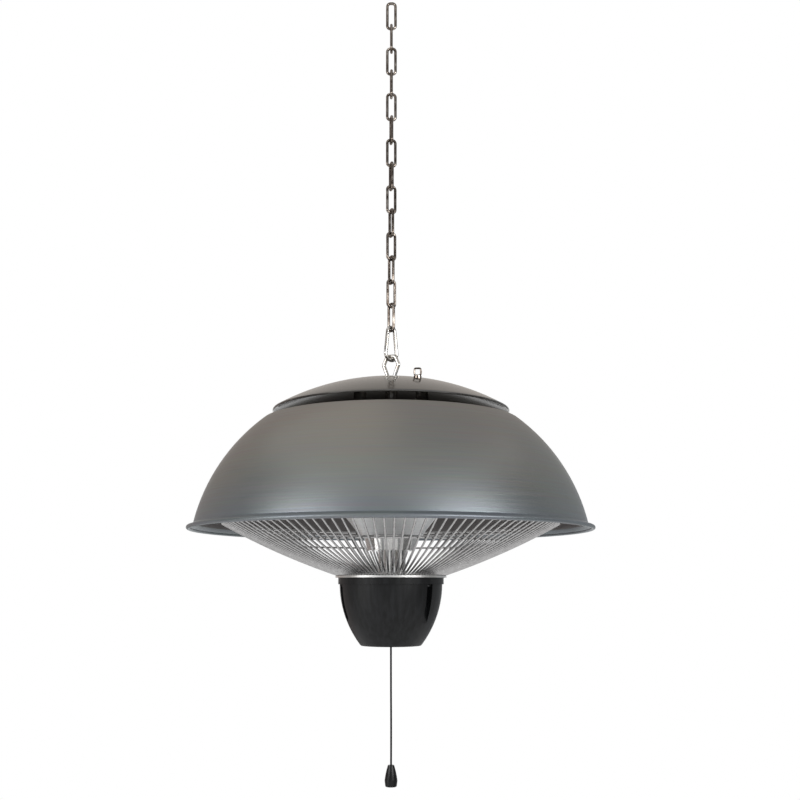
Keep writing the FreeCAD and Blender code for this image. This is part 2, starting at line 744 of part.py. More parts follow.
def stay(centre):
    thread = cylinder(STAY_BOLT, HUB_PLATE_BOTTOM - STAY_NUT_HEIGHT - BOLT_END,
                      SHADE_TOP + STAY_NUT_HEIGHT + BOLT_END, centre)
    return thread.fuse(cylinder(STAY_D, HUB_PLATE_TOP, HANGER_BOTTOM, centre))


def hub_plate():
    plate = cylinder(2 * (NECK_R - HUB_PLATE_GAP), HUB_PLATE_BOTTOM, HUB_PLATE_TOP)
    holes = bolt_holes(STAYS, STAY_BOLT, HUB_PLATE_BOTTOM, HUB_PLATE_TOP)
    return cut_all(plate, holes + bolt_holes(TIES, TIE_D, HUB_PLATE_BOTTOM, HUB_PLATE_TOP))


save("hub_stays", *[stay(centre) for centre in STAYS])
save("stay_nuts", *[nut(STAY_BOLT, low, centre) for centre in STAYS
                    for low in (SHADE_TOP, HUB_PLATE_BOTTOM - STAY_NUT_HEIGHT)])
save("hub_plate", hub_plate())


# Reflector: one spinning, from the neck flange up the trumpet, over the lamps and out to the shade
REFLECTOR_EDGE_R = shade_radius(REFLECTOR_EDGE_HEIGHT + REFLECTOR_WALL, SHADE_WALL) - REFLECTOR_EDGE_GAP


def reflector_line(lift):
    """Edges of the reflector's section from the flange to the outer edge, lifted by the wall."""
    def at(radius, height):
        return section_point(radius, height + lift)

    neck = at(NECK_R, NECK_HEIGHT)
    vault_start = at(VAULT_START_R, VAULT_START_HEIGHT)
    vault_rise = VAULT_START_HEIGHT + (VAULT_HEIGHT - VAULT_START_HEIGHT) * VAULT_FULLNESS
    vault_middle = at((VAULT_START_R + VAULT_R) / 2, vault_rise)
    vault_top = at(VAULT_R, VAULT_HEIGHT)
    outer_rise = REFLECTOR_EDGE_HEIGHT + (VAULT_HEIGHT - REFLECTOR_EDGE_HEIGHT) * VAULT_FULLNESS
    outer_middle = at((VAULT_R + REFLECTOR_EDGE_R) / 2, outer_rise)
    return [
        line(at(NECK_R - NECK_FLANGE, NECK_HEIGHT), neck),
        arc(neck, at(FLARE_R, FLARE_HEIGHT), vault_start),
        arc(vault_start, vault_middle, vault_top),
        arc(vault_top, outer_middle, at(REFLECTOR_EDGE_R, REFLECTOR_EDGE_HEIGHT)),
    ]


def reflector():
    lower = reflector_line(0)
    upper = reflector_line(REFLECTOR_WALL)
    inner_end = section_point(NECK_R - NECK_FLANGE, NECK_HEIGHT)
    outer_end = section_point(REFLECTOR_EDGE_R, REFLECTOR_EDGE_HEIGHT)
    rise = UP * REFLECTOR_WALL
    outer_edge = line(outer_end, outer_end + rise)
    inner_edge = line(inner_end + rise, inner_end)
    return spin(lower + [outer_edge] + upper[::-1] + [inner_edge])


def lamp_space():
    """Room below the reflector, which trims the posts that hang from it."""
    neck = section_point(NECK_R, NECK_HEIGHT)
    outer_end = section_point(REFLECTOR_EDGE_R, REFLECTOR_EDGE_HEIGHT)
    outer_low = section_point(REFLECTOR_EDGE_R, NECK_HEIGHT)
    return spin(reflector_line(0)[1:] + [line(outer_end, outer_low), line(outer_low, neck)])


def hub_cup():
    flange_low = NECK_HEIGHT - CUP_WALL
    cup = spin(closed_section([
        section_point(0, CUP_FLOOR),
        section_point(CUP_BOTTOM_R, CUP_FLOOR),
        section_point(CUP_TOP_R, flange_low),
        section_point(NECK_R, flange_low),
        section_point(NECK_R, NECK_HEIGHT),
        section_point(CUP_TOP_R - CUP_WALL, NECK_HEIGHT),
        section_point(CUP_BOTTOM_R - CUP_WALL, CUP_FLOOR + CUP_WALL),
        section_point(0, CUP_FLOOR + CUP_WALL),
    ]))
    return cut_all(cup, bolt_holes(TIES, TIE_D, CUP_FLOOR, CUP_FLOOR + CUP_WALL))


save("reflector", reflector())
save("hub_cup", hub_cup())


# Pillars with a tie rod through each, which clamp cup, pillars and base plate together
TIE_NUT_HEIGHT = TIE_D * NUT_HEIGHT_PER_BOLT
TIE_LOW = BASE_BOTTOM - TIE_NUT_HEIGHT - BOLT_END
TIE_HIGH = HUB_PLATE_TOP + TIE_NUT_HEIGHT + BOLT_END


def base_plate():
    plate = cylinder(2 * BASE_R, BASE_BOTTOM, BASE_TOP)
    tie_holes = bolt_holes(TIES, TIE_D, BASE_BOTTOM, BASE_TOP)
    return cut_all(plate, tie_holes + bolt_holes(SCREWS, SCREW_D, BASE_BOTTOM, BASE_TOP))


save("pillars", *[tube(PILLAR_D, PILLAR_BORE, BASE_TOP, CUP_FLOOR, tie) for tie in TIES])
save("tie_rods", *[cylinder(TIE_D, TIE_LOW, TIE_HIGH, tie) for tie in TIES])
save("tie_nuts", *[nut(TIE_D, low, tie) for tie in TIES
                   for low in (HUB_PLATE_TOP, BASE_BOTTOM - TIE_NUT_HEIGHT)])
save("base_plate", base_plate())


# Ring lamps: quartz tubes with a filament, a ceramic at each end, and wire clips
LAMP_SWEEP = 360.0 - LAMP_OPENING
LAMP_START = LAMP_OPENING_TURN + LAMP_OPENING / 2


def ring_part(ring_r, diameter):
    """Round bar bent to a ring with the lamp's opening."""
    bar = Part.makeTorus(ring_r, diameter / 2, Vector(0, 0, LAMP_HEIGHT), UP, -180, 180, LAMP_SWEEP)
    return turned(bar, LAMP_START)


def ceramics(ring_r):
    """The two ceramic ends of a lamp, each hung on a post from the reflector."""
    ends = []
    for angle, ahead in ((LAMP_START, -1.0), (LAMP_START + LAMP_SWEEP, 1.0)):
        start = polar(ring_r, angle, LAMP_HEIGHT)
        along = polar(ahead, angle + 90.0)
        body = Part.makeCylinder(CERAMIC_D / 2, CERAMIC_LENGTH, start, along)
        middle = start + along * (CERAMIC_LENGTH / 2)
        post = cylinder(CLIP_POST, LAMP_HEIGHT, VAULT_HEIGHT + REFLECTOR_WALL, middle).common(LAMP_SPACE)
        ends.append(body.fuse(post))
    return ends


def lamp_clips(ring_r):
    clips = []
    for angle in CLIP_ANGLES:
        centre = polar(ring_r, angle, LAMP_HEIGHT)
        loop_r = (LAMP_D + CLIP_WIRE) / 2 + RUNNING_CLEARANCE
        loop = Part.makeTorus(loop_r, CLIP_WIRE / 2, centre, polar(1.0, angle + 90.0))
        post = cylinder(CLIP_WIRE, LAMP_HEIGHT + loop_r, VAULT_HEIGHT + REFLECTOR_WALL, centre)
        clips.append(loop.fuse(post.common(LAMP_SPACE)))
    return clips


def lamp_tube(ring_r):
    return ring_part(ring_r, LAMP_D).cut(ring_part(ring_r, LAMP_D - 2 * LAMP_WALL))


LAMP_SPACE = lamp_space()
LAMP_RINGS = (LAMP_INNER_R, LAMP_OUTER_R)
save("lamp_inner", lamp_tube(LAMP_INNER_R))
save("lamp_outer", lamp_tube(LAMP_OUTER_R))
save("filaments", *[ring_part(ring_r, FILAMENT_D) for ring_r in LAMP_RINGS])
save("lamp_ceramics", *[end for ring_r in LAMP_RINGS for end in ceramics(ring_r)])
save("lamp_clips", *[clip for ring_r in LAMP_RINGS for clip in lamp_clips(ring_r)])


# Guard: radial wires that sag in a shallow arc from the collar to the hoop, with two cross rings
GUARD_INNER = section_point(GUARD_INNER_R, BASE_BOTTOM + GUARD_WIRE / 2)
GUARD_OUTER = section_point(GUARD_R, GUARD_OUTER_HEIGHT)


def guard_arc_centre():
    chord = GUARD_OUTER - GUARD_INNER
    upwards = Vector(-chord.z, 0, chord.x).normalize()
    radius = (chord.Length ** 2 / 4 + GUARD_SAG ** 2) / (2 * GUARD_SAG)
    return (GUARD_INNER + GUARD_OUTER) * 0.5 + upwards * (radius - GUARD_SAG), radius


GUARD_CENTRE, GUARD_ARC = guard_arc_centre()


def guard_wire():
    chord = GUARD_OUTER - GUARD_INNER
    downwards = Vector(chord.z, 0, -chord.x).normalize()
    middle = (GUARD_INNER + GUARD_OUTER) * 0.5 + downwards * GUARD_SAG
    return rod(Part.Wire(arc(GUARD_INNER, middle, GUARD_OUTER)), GUARD_WIRE)


def guard_ring(radius, wire):
    """Ring welded on the upper side of the wires where they pass the given radius."""
    height = GUARD_CENTRE.z - math.sqrt(GUARD_ARC ** 2 - (radius - GUARD_CENTRE.x) ** 2)
    on_wire = section_point(radius, height)
    upwards = (GUARD_CENTRE - on_wire).normalize()
    centre = on_wire + upwards * ((GUARD_WIRE + wire) / 2 + WELD_GAP)
    return Part.makeTorus(centre.x, wire / 2, Vector(0, 0, centre.z))


def guard_collar():
    ring = tube(2 * GUARD_COLLAR_R, GUARD_COLLAR_BORE, COLLAR_BOTTOM, BASE_BOTTOM)
    return cut_all(ring, bolt_holes(SCREWS, SCREW_D, COLLAR_BOTTOM, BASE_BOTTOM))


ONE_WIRE = guard_wire()
save("guard_wires", *[turned(ONE_WIRE, 360.0 * (i + 0.5) / GUARD_WIRES) for i in range(GUARD_WIRES)])
save("guard_hoop", guard_ring(GUARD_R - HOOP_INSET, HOOP_WIRE))
save("guard_rings", *[guard_ring(radius, CROSS_WIRE) for radius in (CROSS_OUTER_R, CROSS_INNER_R)])
save("guard_collar", guard_collar())


# Switch housing: moulded pot with a lip, three screw channels and a cord bush in its floor
POT_LIP_BOTTOM = POT_TOP - POT_LIP_HEIGHT
POT_FLANGE_BOTTOM = POT_TOP - POT_FLANGE


def circle_radius_at(points, height):
    """Radius from the axis of the arc through three section points, at a height."""
    circle = Part.Arc(*points).toShape().Curve
    return circle.Center.x + math.sqrt(circle.Radius ** 2 - (height - circle.Center.z) ** 2)


POT_SIDE = (
    section_point(POT_BODY_R, POT_LIP_BOTTOM),
    section_point(POT_BELLY_R, POT_TOP - POT_BELLY_DROP),
    section_point(POT_FOOT_R, POT_BOTTOM + POT_FOOT_ROUND),
)


def switch_housing():
    outside = spin([
        line(section_point(0, POT_BOTTOM), section_point(0, POT_TOP)),
        line(section_point(0, POT_TOP), section_point(POT_LIP_R, POT_TOP)),
        line(section_point(POT_LIP_R, POT_TOP), section_point(POT_LIP_R, POT_LIP_BOTTOM)),
        line(section_point(POT_LIP_R, POT_LIP_BOTTOM), POT_SIDE[0]),
        arc(*POT_SIDE),
        line(POT_SIDE[2], section_point(POT_FOOT_R - POT_FOOT_ROUND, POT_BOTTOM)),
        line(section_point(POT_FOOT_R - POT_FOOT_ROUND, POT_BOTTOM), section_point(0, POT_BOTTOM)),
    ])
    floor = POT_BOTTOM + POT_WALL
    middle = (floor + POT_FLANGE_BOTTOM) / 2

    def inside_point(height):
        return section_point(circle_radius_at(POT_SIDE, height) - POT_WALL, height)

    cavity = spin([
        line(section_point(0, floor), inside_point(floor)),
        arc(inside_point(floor), inside_point(middle), inside_point(POT_FLANGE_BOTTOM)),
        line(inside_point(POT_FLANGE_BOTTOM), section_point(POT_MOUTH_R, POT_FLANGE_BOTTOM)),
        line(section_point(POT_MOUTH_R, POT_FLANGE_BOTTOM), section_point(POT_MOUTH_R, POT_TOP)),
        line(section_point(POT_MOUTH_R, POT_TOP), section_point(0, POT_TOP)),
        line(section_point(0, POT_TOP), section_point(0, floor)),
    ])
    bosses = [channel(POT_WALL, turn, POT_LIP_BOTTOM) for turn in THIRDS]
    channels = [channel(0.0, turn, POT_LIP_BOTTOM) for turn in THIRDS]
    screw_ways = bolt_holes(SCREWS, SCREW_D, POT_LIP_BOTTOM, POT_TOP)
    bush_way = cylinder(BUSH_D, POT_BOTTOM, floor)
    return cut_all(outside, [cut_all(cavity, bosses)] + channels + screw_ways + [bush_way])


def channel(margin, turn, top):
    """Upright slot from the channel's floor out past the side, grown by a margin."""
    inner = CHANNEL_FLOOR_R - margin
    width = CHANNEL_WIDTH + 2 * margin
    reach = POT_LIP_R + POT_WALL - inner
    box = Part.makeBox(reach, width, top - POT_BOTTOM, Vector(inner, -width / 2, POT_BOTTOM))
    return turned(box, CHANNEL_ANGLE + turn)


def housing_screw(centre):
    head = cylinder(SCREW_HEAD, POT_LIP_BOTTOM - SCREW_HEAD_HEIGHT, POT_LIP_BOTTOM, centre)
    return head.fuse(cylinder(SCREW_D, POT_LIP_BOTTOM, BASE_TOP, centre))


def cord_bush():
    return spin(closed_section([
        section_point(BUSH_BORE / 2, POT_BOTTOM - BUSH_LIP),
        section_point(BUSH_FLANGE / 2 - BUSH_LIP, POT_BOTTOM - BUSH_LIP),
        section_point(BUSH_FLANGE / 2, POT_BOTTOM),
        section_point(BUSH_D / 2, POT_BOTTOM),
        section_point(BUSH_D / 2, POT_BOTTOM + POT_WALL),
        section_point(BUSH_BORE / 2, POT_BOTTOM + POT_WALL),
    ]))


save("switch_housing", switch_housing())
save("housing_screws", *[housing_screw(screw) for screw in SCREWS])
save("cord_bush", cord_bush())


# Pull switch on its bracket: the cord draws the lever down
PIVOT = Vector(-LEVER_ARM, 0, BASE_BOTTOM - LEVER_PIVOT_DROP)
SWITCH_FRONT = -LEVER_ARM + LEVER_BARREL / 2
SWITCH_BACK = SWITCH_FRONT - SWITCH_DEPTH
SWITCH_LOW = PIVOT.z - SWITCH_HEIGHT / 2
LEVER_SLOT = LEVER_WIDTH + 2 * LEVER_SIDE_GAP
SIDEWAYS = Vector(0, 1, 0)


def pivot_round(diameter, width):
    return Part.makeCylinder(diameter / 2, width, PIVOT - SIDEWAYS * (width / 2), SIDEWAYS)


def switch_body():
    corner = Vector(SWITCH_BACK, -SWITCH_WIDTH / 2, SWITCH_LOW)
    body = Part.makeBox(SWITCH_DEPTH, SWITCH_WIDTH, SWITCH_HEIGHT, corner)
    slot_corner = Vector(PIVOT.x - LEVER_BARREL / 2 - LEVER_SIDE_GAP, -LEVER_SLOT / 2, SWITCH_LOW)
    slot = Part.makeBox(2 * LEVER_BARREL, LEVER_SLOT, SWITCH_HEIGHT, slot_corner)
    return cut_all(body, [slot, pivot_round(LEVER_PIN, SWITCH_WIDTH)])


def switch_lever():
    strip = Part.makeBox(LEVER_ARM + LEVER_TIP, LEVER_WIDTH, LEVER_THICKNESS,
                         PIVOT + Vector(0, -LEVER_WIDTH / 2, -LEVER_THICKNESS / 2))
    eye = cylinder(LEVER_EYE, PIVOT.z - LEVER_THICKNESS, PIVOT.z + LEVER_THICKNESS, Vector(0.5, 0, 0))
    lever = strip.cut(eye.fuse(eye.translated(Vector(-1, 0, 0)))).fuse(pivot_round(LEVER_BARREL, LEVER_WIDTH))
    lever.rotate(PIVOT, SIDEWAYS, -LEVER_REST)
    return lever.cut(pivot_round(LEVER_PIN + 2 * RUNNING_CLEARANCE, LEVER_WIDTH))


def switch_bracket():
    corner = Vector(SWITCH_BACK - BRACKET_THICKNESS, -SWITCH_WIDTH / 2, SWITCH_LOW)
    plate = Part.makeBox(BRACKET_THICKNESS, SWITCH_WIDTH, BASE_BOTTOM - SWITCH_LOW, corner)
    corner.z = BASE_BOTTOM - BRACKET_THICKNESS
    foot = Part.makeBox(BRACKET_FOOT, SWITCH_WIDTH, BRACKET_THICKNESS, corner)
    return plate.fuse(foot).removeSplitter()


save("switch_body", switch_body())
save("switch_lever", switch_lever())
save("lever_pin", pivot_round(LEVER_PIN, SWITCH_WIDTH))
save("switch_bracket", switch_bracket())


# Pull cord: hangs straight from its ferrule on the lever, through the bush, to the bell
LEVER_LEAN = math.radians(LEVER_REST)
LEVER_TOP_AT_CORD = PIVOT.z + LEVER_ARM * math.tan(LEVER_LEAN) + LEVER_THICKNESS / 2 / math.cos(LEVER_LEAN)
FERRULE_HEIGHT = LEVER_TOP_AT_CORD + (FERRULE_D / 2 + FERRULE_GAP) / math.cos(LEVER_LEAN)


def cord_route():
    return [
        section_point(0, FERRULE_HEIGHT),
        section_point(0, CORD_STRAIGHT_END),
        section_point(CORD_BOW, CORD_BOW_HEIGHT),
        section_point(CORD_END_X, CORD_END_HEIGHT),
    ]


def cord_radii(points):
    """Arc radius at each bend of the cord, as wide as its two runs allow."""
    radii = []
    for before, at, after in zip(points, points[1:], points[2:]):
        runs = ((at - before).Length, (after - at).Length)
        turn = (at - before).getAngle(after - at)
        radii.append(CORD_ARC_SHARE * min(runs) / math.tan(turn / 2))
    return radii


def pull_cord():
    points = cord_route()
    radii = cord_radii(points)
    path = bent_path(points, radii)
    cord = rod(path, CORD_D)
    section = math.pi * CORD_D ** 2 / 4
    print("pull cord bend radii", [round(radius) for radius in radii])
    print("pull cord length", round(path.Length, 2), "volume over section", round(cord.Volume / section, 2))
    return cord


def cord_bell():
    centre = section_point(CORD_END_X, 0)
    widest = section_point(BELL_R, BELL_TOP - BELL_WIDEST_DROP)
    mouth = section_point(BELL_MOUTH_R, BELL_TOP - BELL_HEIGHT)
    shoulder = section_point(BELL_TOP_R, BELL_TOP)
    flank = section_point((BELL_TOP_R + BELL_R) / 2 + BELL_TOP_R / 8, BELL_TOP - BELL_WIDEST_DROP / 2)
    bell = spin([
        line(section_point(0, BELL_TOP - BELL_HEIGHT), section_point(0, BELL_TOP)),
        line(section_point(0, BELL_TOP), shoulder),
        arc(shoulder, flank, widest),
        line(widest, mouth),
        line(mouth, section_point(0, BELL_TOP - BELL_HEIGHT)),
    ])
    bell.translate(centre)
    return bell.cut(PULL_CORD)


PULL_CORD = pull_cord()
save("pull_cord", PULL_CORD)
save("cord_ferrule", Part.makeSphere(FERRULE_D / 2, Vector(0, 0, FERRULE_HEIGHT)).cut(PULL_CORD))
save("cord_bell", cord_bell())
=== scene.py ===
import bpy
import bmesh
import math
from mathutils import Matrix, Vector


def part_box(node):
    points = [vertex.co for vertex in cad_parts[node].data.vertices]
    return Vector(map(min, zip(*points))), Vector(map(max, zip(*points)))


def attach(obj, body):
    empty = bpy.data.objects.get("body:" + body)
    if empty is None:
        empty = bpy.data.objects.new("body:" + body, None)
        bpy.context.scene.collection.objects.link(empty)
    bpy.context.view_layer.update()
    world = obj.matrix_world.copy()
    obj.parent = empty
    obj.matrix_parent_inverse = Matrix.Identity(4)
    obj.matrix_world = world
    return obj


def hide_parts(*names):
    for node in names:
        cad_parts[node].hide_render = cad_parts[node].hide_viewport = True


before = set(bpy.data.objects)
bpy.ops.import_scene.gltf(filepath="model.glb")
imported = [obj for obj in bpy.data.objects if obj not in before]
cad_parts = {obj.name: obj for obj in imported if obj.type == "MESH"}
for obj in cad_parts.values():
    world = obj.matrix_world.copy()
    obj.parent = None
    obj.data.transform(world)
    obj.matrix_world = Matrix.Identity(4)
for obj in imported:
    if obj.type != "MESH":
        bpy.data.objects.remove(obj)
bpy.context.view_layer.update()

# Viewpoint: eye level a little below the shade's rim, tilted up, on a lens that is long enough to
# keep the dome's sides upright. The heater hangs slightly left of the middle of the picture.
IMAGE_SIDE = 800
OPTICAL_ROW = 498
FOCAL_PIXELS = 993
EYE_X, EYE_Y, EYE_Z = 0.0095, -1.05, -0.64415
EYE_TILT = math.radians(5.123)

lens = bpy.data.cameras.new("viewpoint")
lens.sensor_width = 36.0
lens.lens = FOCAL_PIXELS / IMAGE_SIDE * lens.sensor_width
lens.shift_y = (OPTICAL_ROW - IMAGE_SIDE / 2) / IMAGE_SIDE
lens.clip_end = 50.0
viewpoint = bpy.data.objects.new("viewpoint", lens)
viewpoint.location = (EYE_X, EYE_Y, EYE_Z)
viewpoint.rotation_euler = (math.radians(90) + EYE_TILT, 0, 0)
bpy.context.scene.collection.objects.link(viewpoint)
bpy.context.scene.camera = viewpoint


# Pull cord: a thin black braided cord, knotted into a ferrule on the switch's lever, that leaves the
# housing through its bush and hangs straight down to the bell. It has the faintest bow from packing.
def linear(hex_colour):
    """sRGB hex text to the linear RGBA that a shader takes."""
    channels = [int(hex_colour[i:i + 2], 16) / 255 for i in (1, 3, 5)]
    return [c / 12.92 if c <= 0.04045 else ((c + 0.055) / 1.055) ** 2.4 for c in channels] + [1.0]


def node(tree, kind, inputs=(), stops=(), **settings):
    """Adds a node, sets it up, gives a ramp its hex colour stops, and links or fills its inputs."""
    made = tree.nodes.new(kind)
    for name, value in settings.items():
        setattr(made, name, value)
    if stops:
        band = made.color_ramp.elements
        for end, (place, colour) in zip(band, (stops[0], stops[-1])):
            end.position, end.color = place, linear(colour)
        for place, colour in stops[1:-1]:
            band.new(place).color = linear(colour)
    for name, value in dict(inputs).items():
        if isinstance(value, bpy.types.NodeSocket):
            tree.links.new(value, made.inputs[name])
        else:
            made.inputs[name].default_value = value
    return made


def new_material(name):
    """Material with an empty tree that ends in a Principled surface."""
    made = bpy.data.materials.new(name)
    made.use_nodes = True
    made.node_tree.nodes.clear()
    surface = node(made.node_tree, "ShaderNodeBsdfPrincipled")
    node(made.node_tree, "ShaderNodeOutputMaterial", {"Surface": surface.outputs["BSDF"]})
    return made, made.node_tree, surface


# Sections of turned pieces are in mm from the axis and from the rim; all else is in metres.
SHADE_TOP = 114.7
RIM_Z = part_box("shade")[1][2] - SHADE_TOP / 1000
CORD_D, CORD_LENGTH = 0.002, 0.1815
PLAIT = CORD_D * 3
CORD_TOP = (0.0, 0.0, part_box("pull_cord")[1][2])
CORD_ROUTE = [
    CORD_TOP,
    (0.0, 0.0, RIM_Z - 0.160),
    (0.00035, 0.0, RIM_Z - 0.205),
    (0.0002, 0.0, RIM_Z - 0.250),
]

cord_curve = bpy.data.curves.new("pull_cord_braid", "CURVE")
cord_curve.dimensions = "3D"
cord_line = cord_curve.splines.new("NURBS")
cord_line.points.add(len(CORD_ROUTE) - 1)
for point, place in zip(cord_line.points, CORD_ROUTE):
    point.co = (*place, 1.0)
cord_line.order_u = 3
cord_line.use_endpoint_u = True
cord_curve.resolution_u = 24
cord_curve.bevel_depth = CORD_D / 2
cord_curve.bevel_resolution = 5
cord_curve.use_fill_caps = True
pull_cord = bpy.data.objects.new("pull_cord_braid", cord_curve)
bpy.context.scene.collection.objects.link(pull_cord)

# Black braided polyester: matt, with slanted plaits, drawn about two cord widths long so that they show.
cord_braid, tree, surface = new_material("black_braided_polyester")
place = node(tree, "ShaderNodeTexCoord").outputs["Object"]
plait = node(tree, "ShaderNodeTexWave", {"Vector": place, "Scale": 1 / PLAIT, "Distortion": 1.5},
             wave_type="BANDS", bands_direction="DIAGONAL")
colour = node(tree, "ShaderNodeValToRGB", {"Fac": plait.outputs["Fac"]},
              stops=[(0.2, "#070708"), (0.9, "#111112")])
tree.links.new(colour.outputs["Color"], surface.inputs["Base Color"])
surface.inputs["Roughness"].default_value = 0.8
surface.inputs["Specular IOR Level"].default_value = 0.25
bump = node(tree, "ShaderNodeBump", {"Height": plait.outputs["Fac"], "Strength": 0.5, "Distance": 0.0002})
tree.links.new(bump.outputs["Normal"], surface.inputs["Normal"])
cord_curve.materials.append(cord_braid)
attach(pull_cord, "pull_cord")
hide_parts("pull_cord")


# Bell: the moulded pull on the cord's end, a slim cone that swells to its mouth and turns in below.
# Smooth glossy black plastic, held by the knot in the cord.
def mottled(name, patch, detail, roughness, stops, sockets=()):
    """Material whose colour, and roughness where it has two ends, wander in patches of a size in metres."""
    made, tree, surface = new_material(name)
    place = node(tree, "ShaderNodeTexCoord").outputs["Object"]
    noise = node(tree, "ShaderNodeTexNoise", {"Vector": place, "Scale": 1 / patch, "Detail": detail})
    colour = node(tree, "ShaderNodeValToRGB", {"Fac": noise.outputs["Fac"]}, stops=stops)
    tree.links.new(colour.outputs["Color"], surface.inputs["Base Color"])
    if isinstance(roughness, tuple):
        spread = node(tree, "ShaderNodeMapRange",
                      {"Value": noise.outputs["Fac"], "To Min": roughness[0], "To Max": roughness[1]})
        tree.links.new(spread.outputs["Result"], surface.inputs["Roughness"])
    else:
        surface.inputs["Roughness"].default_value = roughness
    for socket, value in dict(sockets).items():
        surface.inputs[socket].default_value = value
    return made


def finished(name, mesh, material, body, sharp=35):
    """Object of a mesh that is shaded smooth up to the given angle, and rides on a body."""
    mesh.shade_smooth()
    mesh.set_sharp_from_angle(angle=math.radians(sharp))
    mesh.materials.clear()
    mesh.materials.append(material)
    piece = bpy.data.objects.new(name, mesh)
    bpy.context.scene.collection.objects.link(piece)
    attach(piece, body)
    return piece


def spun(name, outline, material, body, steps=160, sharp=35):
    """Piece turned about the heater's axis from a closed outline of (radius, height) in mm from the rim."""
    shape = bmesh.new()
    turns = [math.tau * i / steps for i in range(steps)]
    rings = []
    for radius, height in outline:
        r, z = radius / 1000, RIM_Z + height / 1000
        if radius < 1e-6:
            pole = shape.verts.new((0, 0, z))
            rings.append([pole] * steps)
        else:
            rings.append([shape.verts.new((r * math.cos(t), r * math.sin(t), z)) for t in turns])
    for low, high in zip(rings, rings[1:] + rings[:1]):
        for i in range(steps):
            corners = []
            for corner in (low[i - 1], low[i], high[i], high[i - 1]):
                if corner not in corners:
                    corners.append(corner)
            if len(corners) > 2:
                shape.faces.new(corners)
    bmesh.ops.recalc_face_normals(shape, faces=shape.faces)
    mesh = bpy.data.meshes.new(name)
    shape.to_mesh(mesh)
    shape.free()
    return finished(name, mesh, material, body, sharp)


def arc_points(start, middle, end, count=12):
    """Points on the circle through three points of an outline."""
    (ax, ay), (bx, by), (cx, cy) = start, middle, end
    d = 2 * (ax * (by - cy) + bx * (cy - ay) + cx * (ay - by))
    ux = ((ax**2 + ay**2) * (by - cy) + (bx**2 + by**2) * (cy - ay) + (cx**2 + cy**2) * (ay - by)) / d
    uy = ((ax**2 + ay**2) * (cx - bx) + (bx**2 + by**2) * (ax - cx) + (cx**2 + cy**2) * (bx - ax)) / d
    angles = [math.atan2(y - uy, x - ux) for x, y in (start, middle, end)]
    first, last = angles[0], angles[2]
    sweep = (last - first) % math.tau
    if (angles[1] - first) % math.tau > sweep:
        sweep -= math.tau
    radius = math.hypot(ax - ux, ay - uy)
    turns = [first + sweep * i / count for i in range(count + 1)]
    return [(ux + radius * math.cos(t), uy + radius * math.sin(t)) for t in turns]


BELL_TOP, BELL_HEIGHT, BELL_WIDEST_DROP = -243.7, 21.8, 15.8
BELL_TOP_R, BELL_R, BELL_MOUTH_R = 3.2, 6.7, 6.0
BELL_SWELL, BELL_EDGE = 0.4, 0.5

# Glossy black ABS: smooth moulding with faint waviness and the odd handling mark.
gloss_black = mottled("gloss_black_abs", patch=0.006, detail=4.0, roughness=(0.26, 0.36),
                      stops=[(0.3, "#0B0B0C"), (0.7, "#121213")], sockets={"Specular IOR Level": 0.25})

bell_middle = ((BELL_TOP_R + BELL_R) / 2 + BELL_SWELL, BELL_TOP - BELL_WIDEST_DROP / 2)
bell_flank = arc_points((BELL_TOP_R, BELL_TOP), bell_middle, (BELL_R, BELL_TOP - BELL_WIDEST_DROP), count=14)
bell_bottom = BELL_TOP - BELL_HEIGHT
bell_crown = [(0, BELL_TOP), (BELL_TOP_R - BELL_EDGE, BELL_TOP)]
bell_foot = [(BELL_MOUTH_R, bell_bottom + BELL_EDGE), (BELL_MOUTH_R - BELL_EDGE, bell_bottom)]
bell_outline = bell_crown + bell_flank + bell_foot + [(0, bell_bottom)]
bell = spun("cord_bell_moulding", bell_outline, gloss_black, "pull_cord", steps=64)
bell.data.transform(Matrix.Translation((CORD_ROUTE[-1][0], CORD_ROUTE[-1][1], 0)))
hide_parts("cord_bell")


# Chain: long links of round wire, each bent to a rectangle with round corners, welded shut and
# nickel plated. Every second link stands crosswise, and the chain has a slow twist as it hangs.
def new_tree(name, sizes):
    """Geometry tree with one float input for each named size, and its group ends."""
    made = bpy.data.node_groups.new(name, "GeometryNodeTree")
    made.interface.new_socket("Geometry", in_out="OUTPUT", socket_type="NodeSocketGeometry")
    for size in sizes:
        made.interface.new_socket(size, in_out="INPUT", socket_type="NodeSocketFloat")
    return made, node(made, "NodeGroupInput").outputs


def wire_along(tree, line, thickness, sides, capped):
    """Round wire of a thickness along a curve."""
    half = node(tree, "ShaderNodeMath", {0: thickness, 1: 0.5}, operation="MULTIPLY")
    ring = node(tree, "GeometryNodeCurvePrimitiveCircle", {"Resolution": sides, "Radius": half.outputs[0]})
    skin = node(tree, "GeometryNodeCurveToMesh",
                {"Curve": line, "Profile Curve": ring.outputs["Curve"], "Fill Caps": capped})
    return skin.outputs["Mesh"]


def end_tree(tree, geometry, material):
    """Closes a tree: real geometry, its material, and the group's output."""
    real = node(tree, "GeometryNodeRealizeInstances", {"Geometry": geometry})
    coloured = node(tree, "GeometryNodeSetMaterial",
                    {"Geometry": real.outputs["Geometry"], "Material": material})
    node(tree, "NodeGroupOutput", {"Geometry": coloured.outputs["Geometry"]})


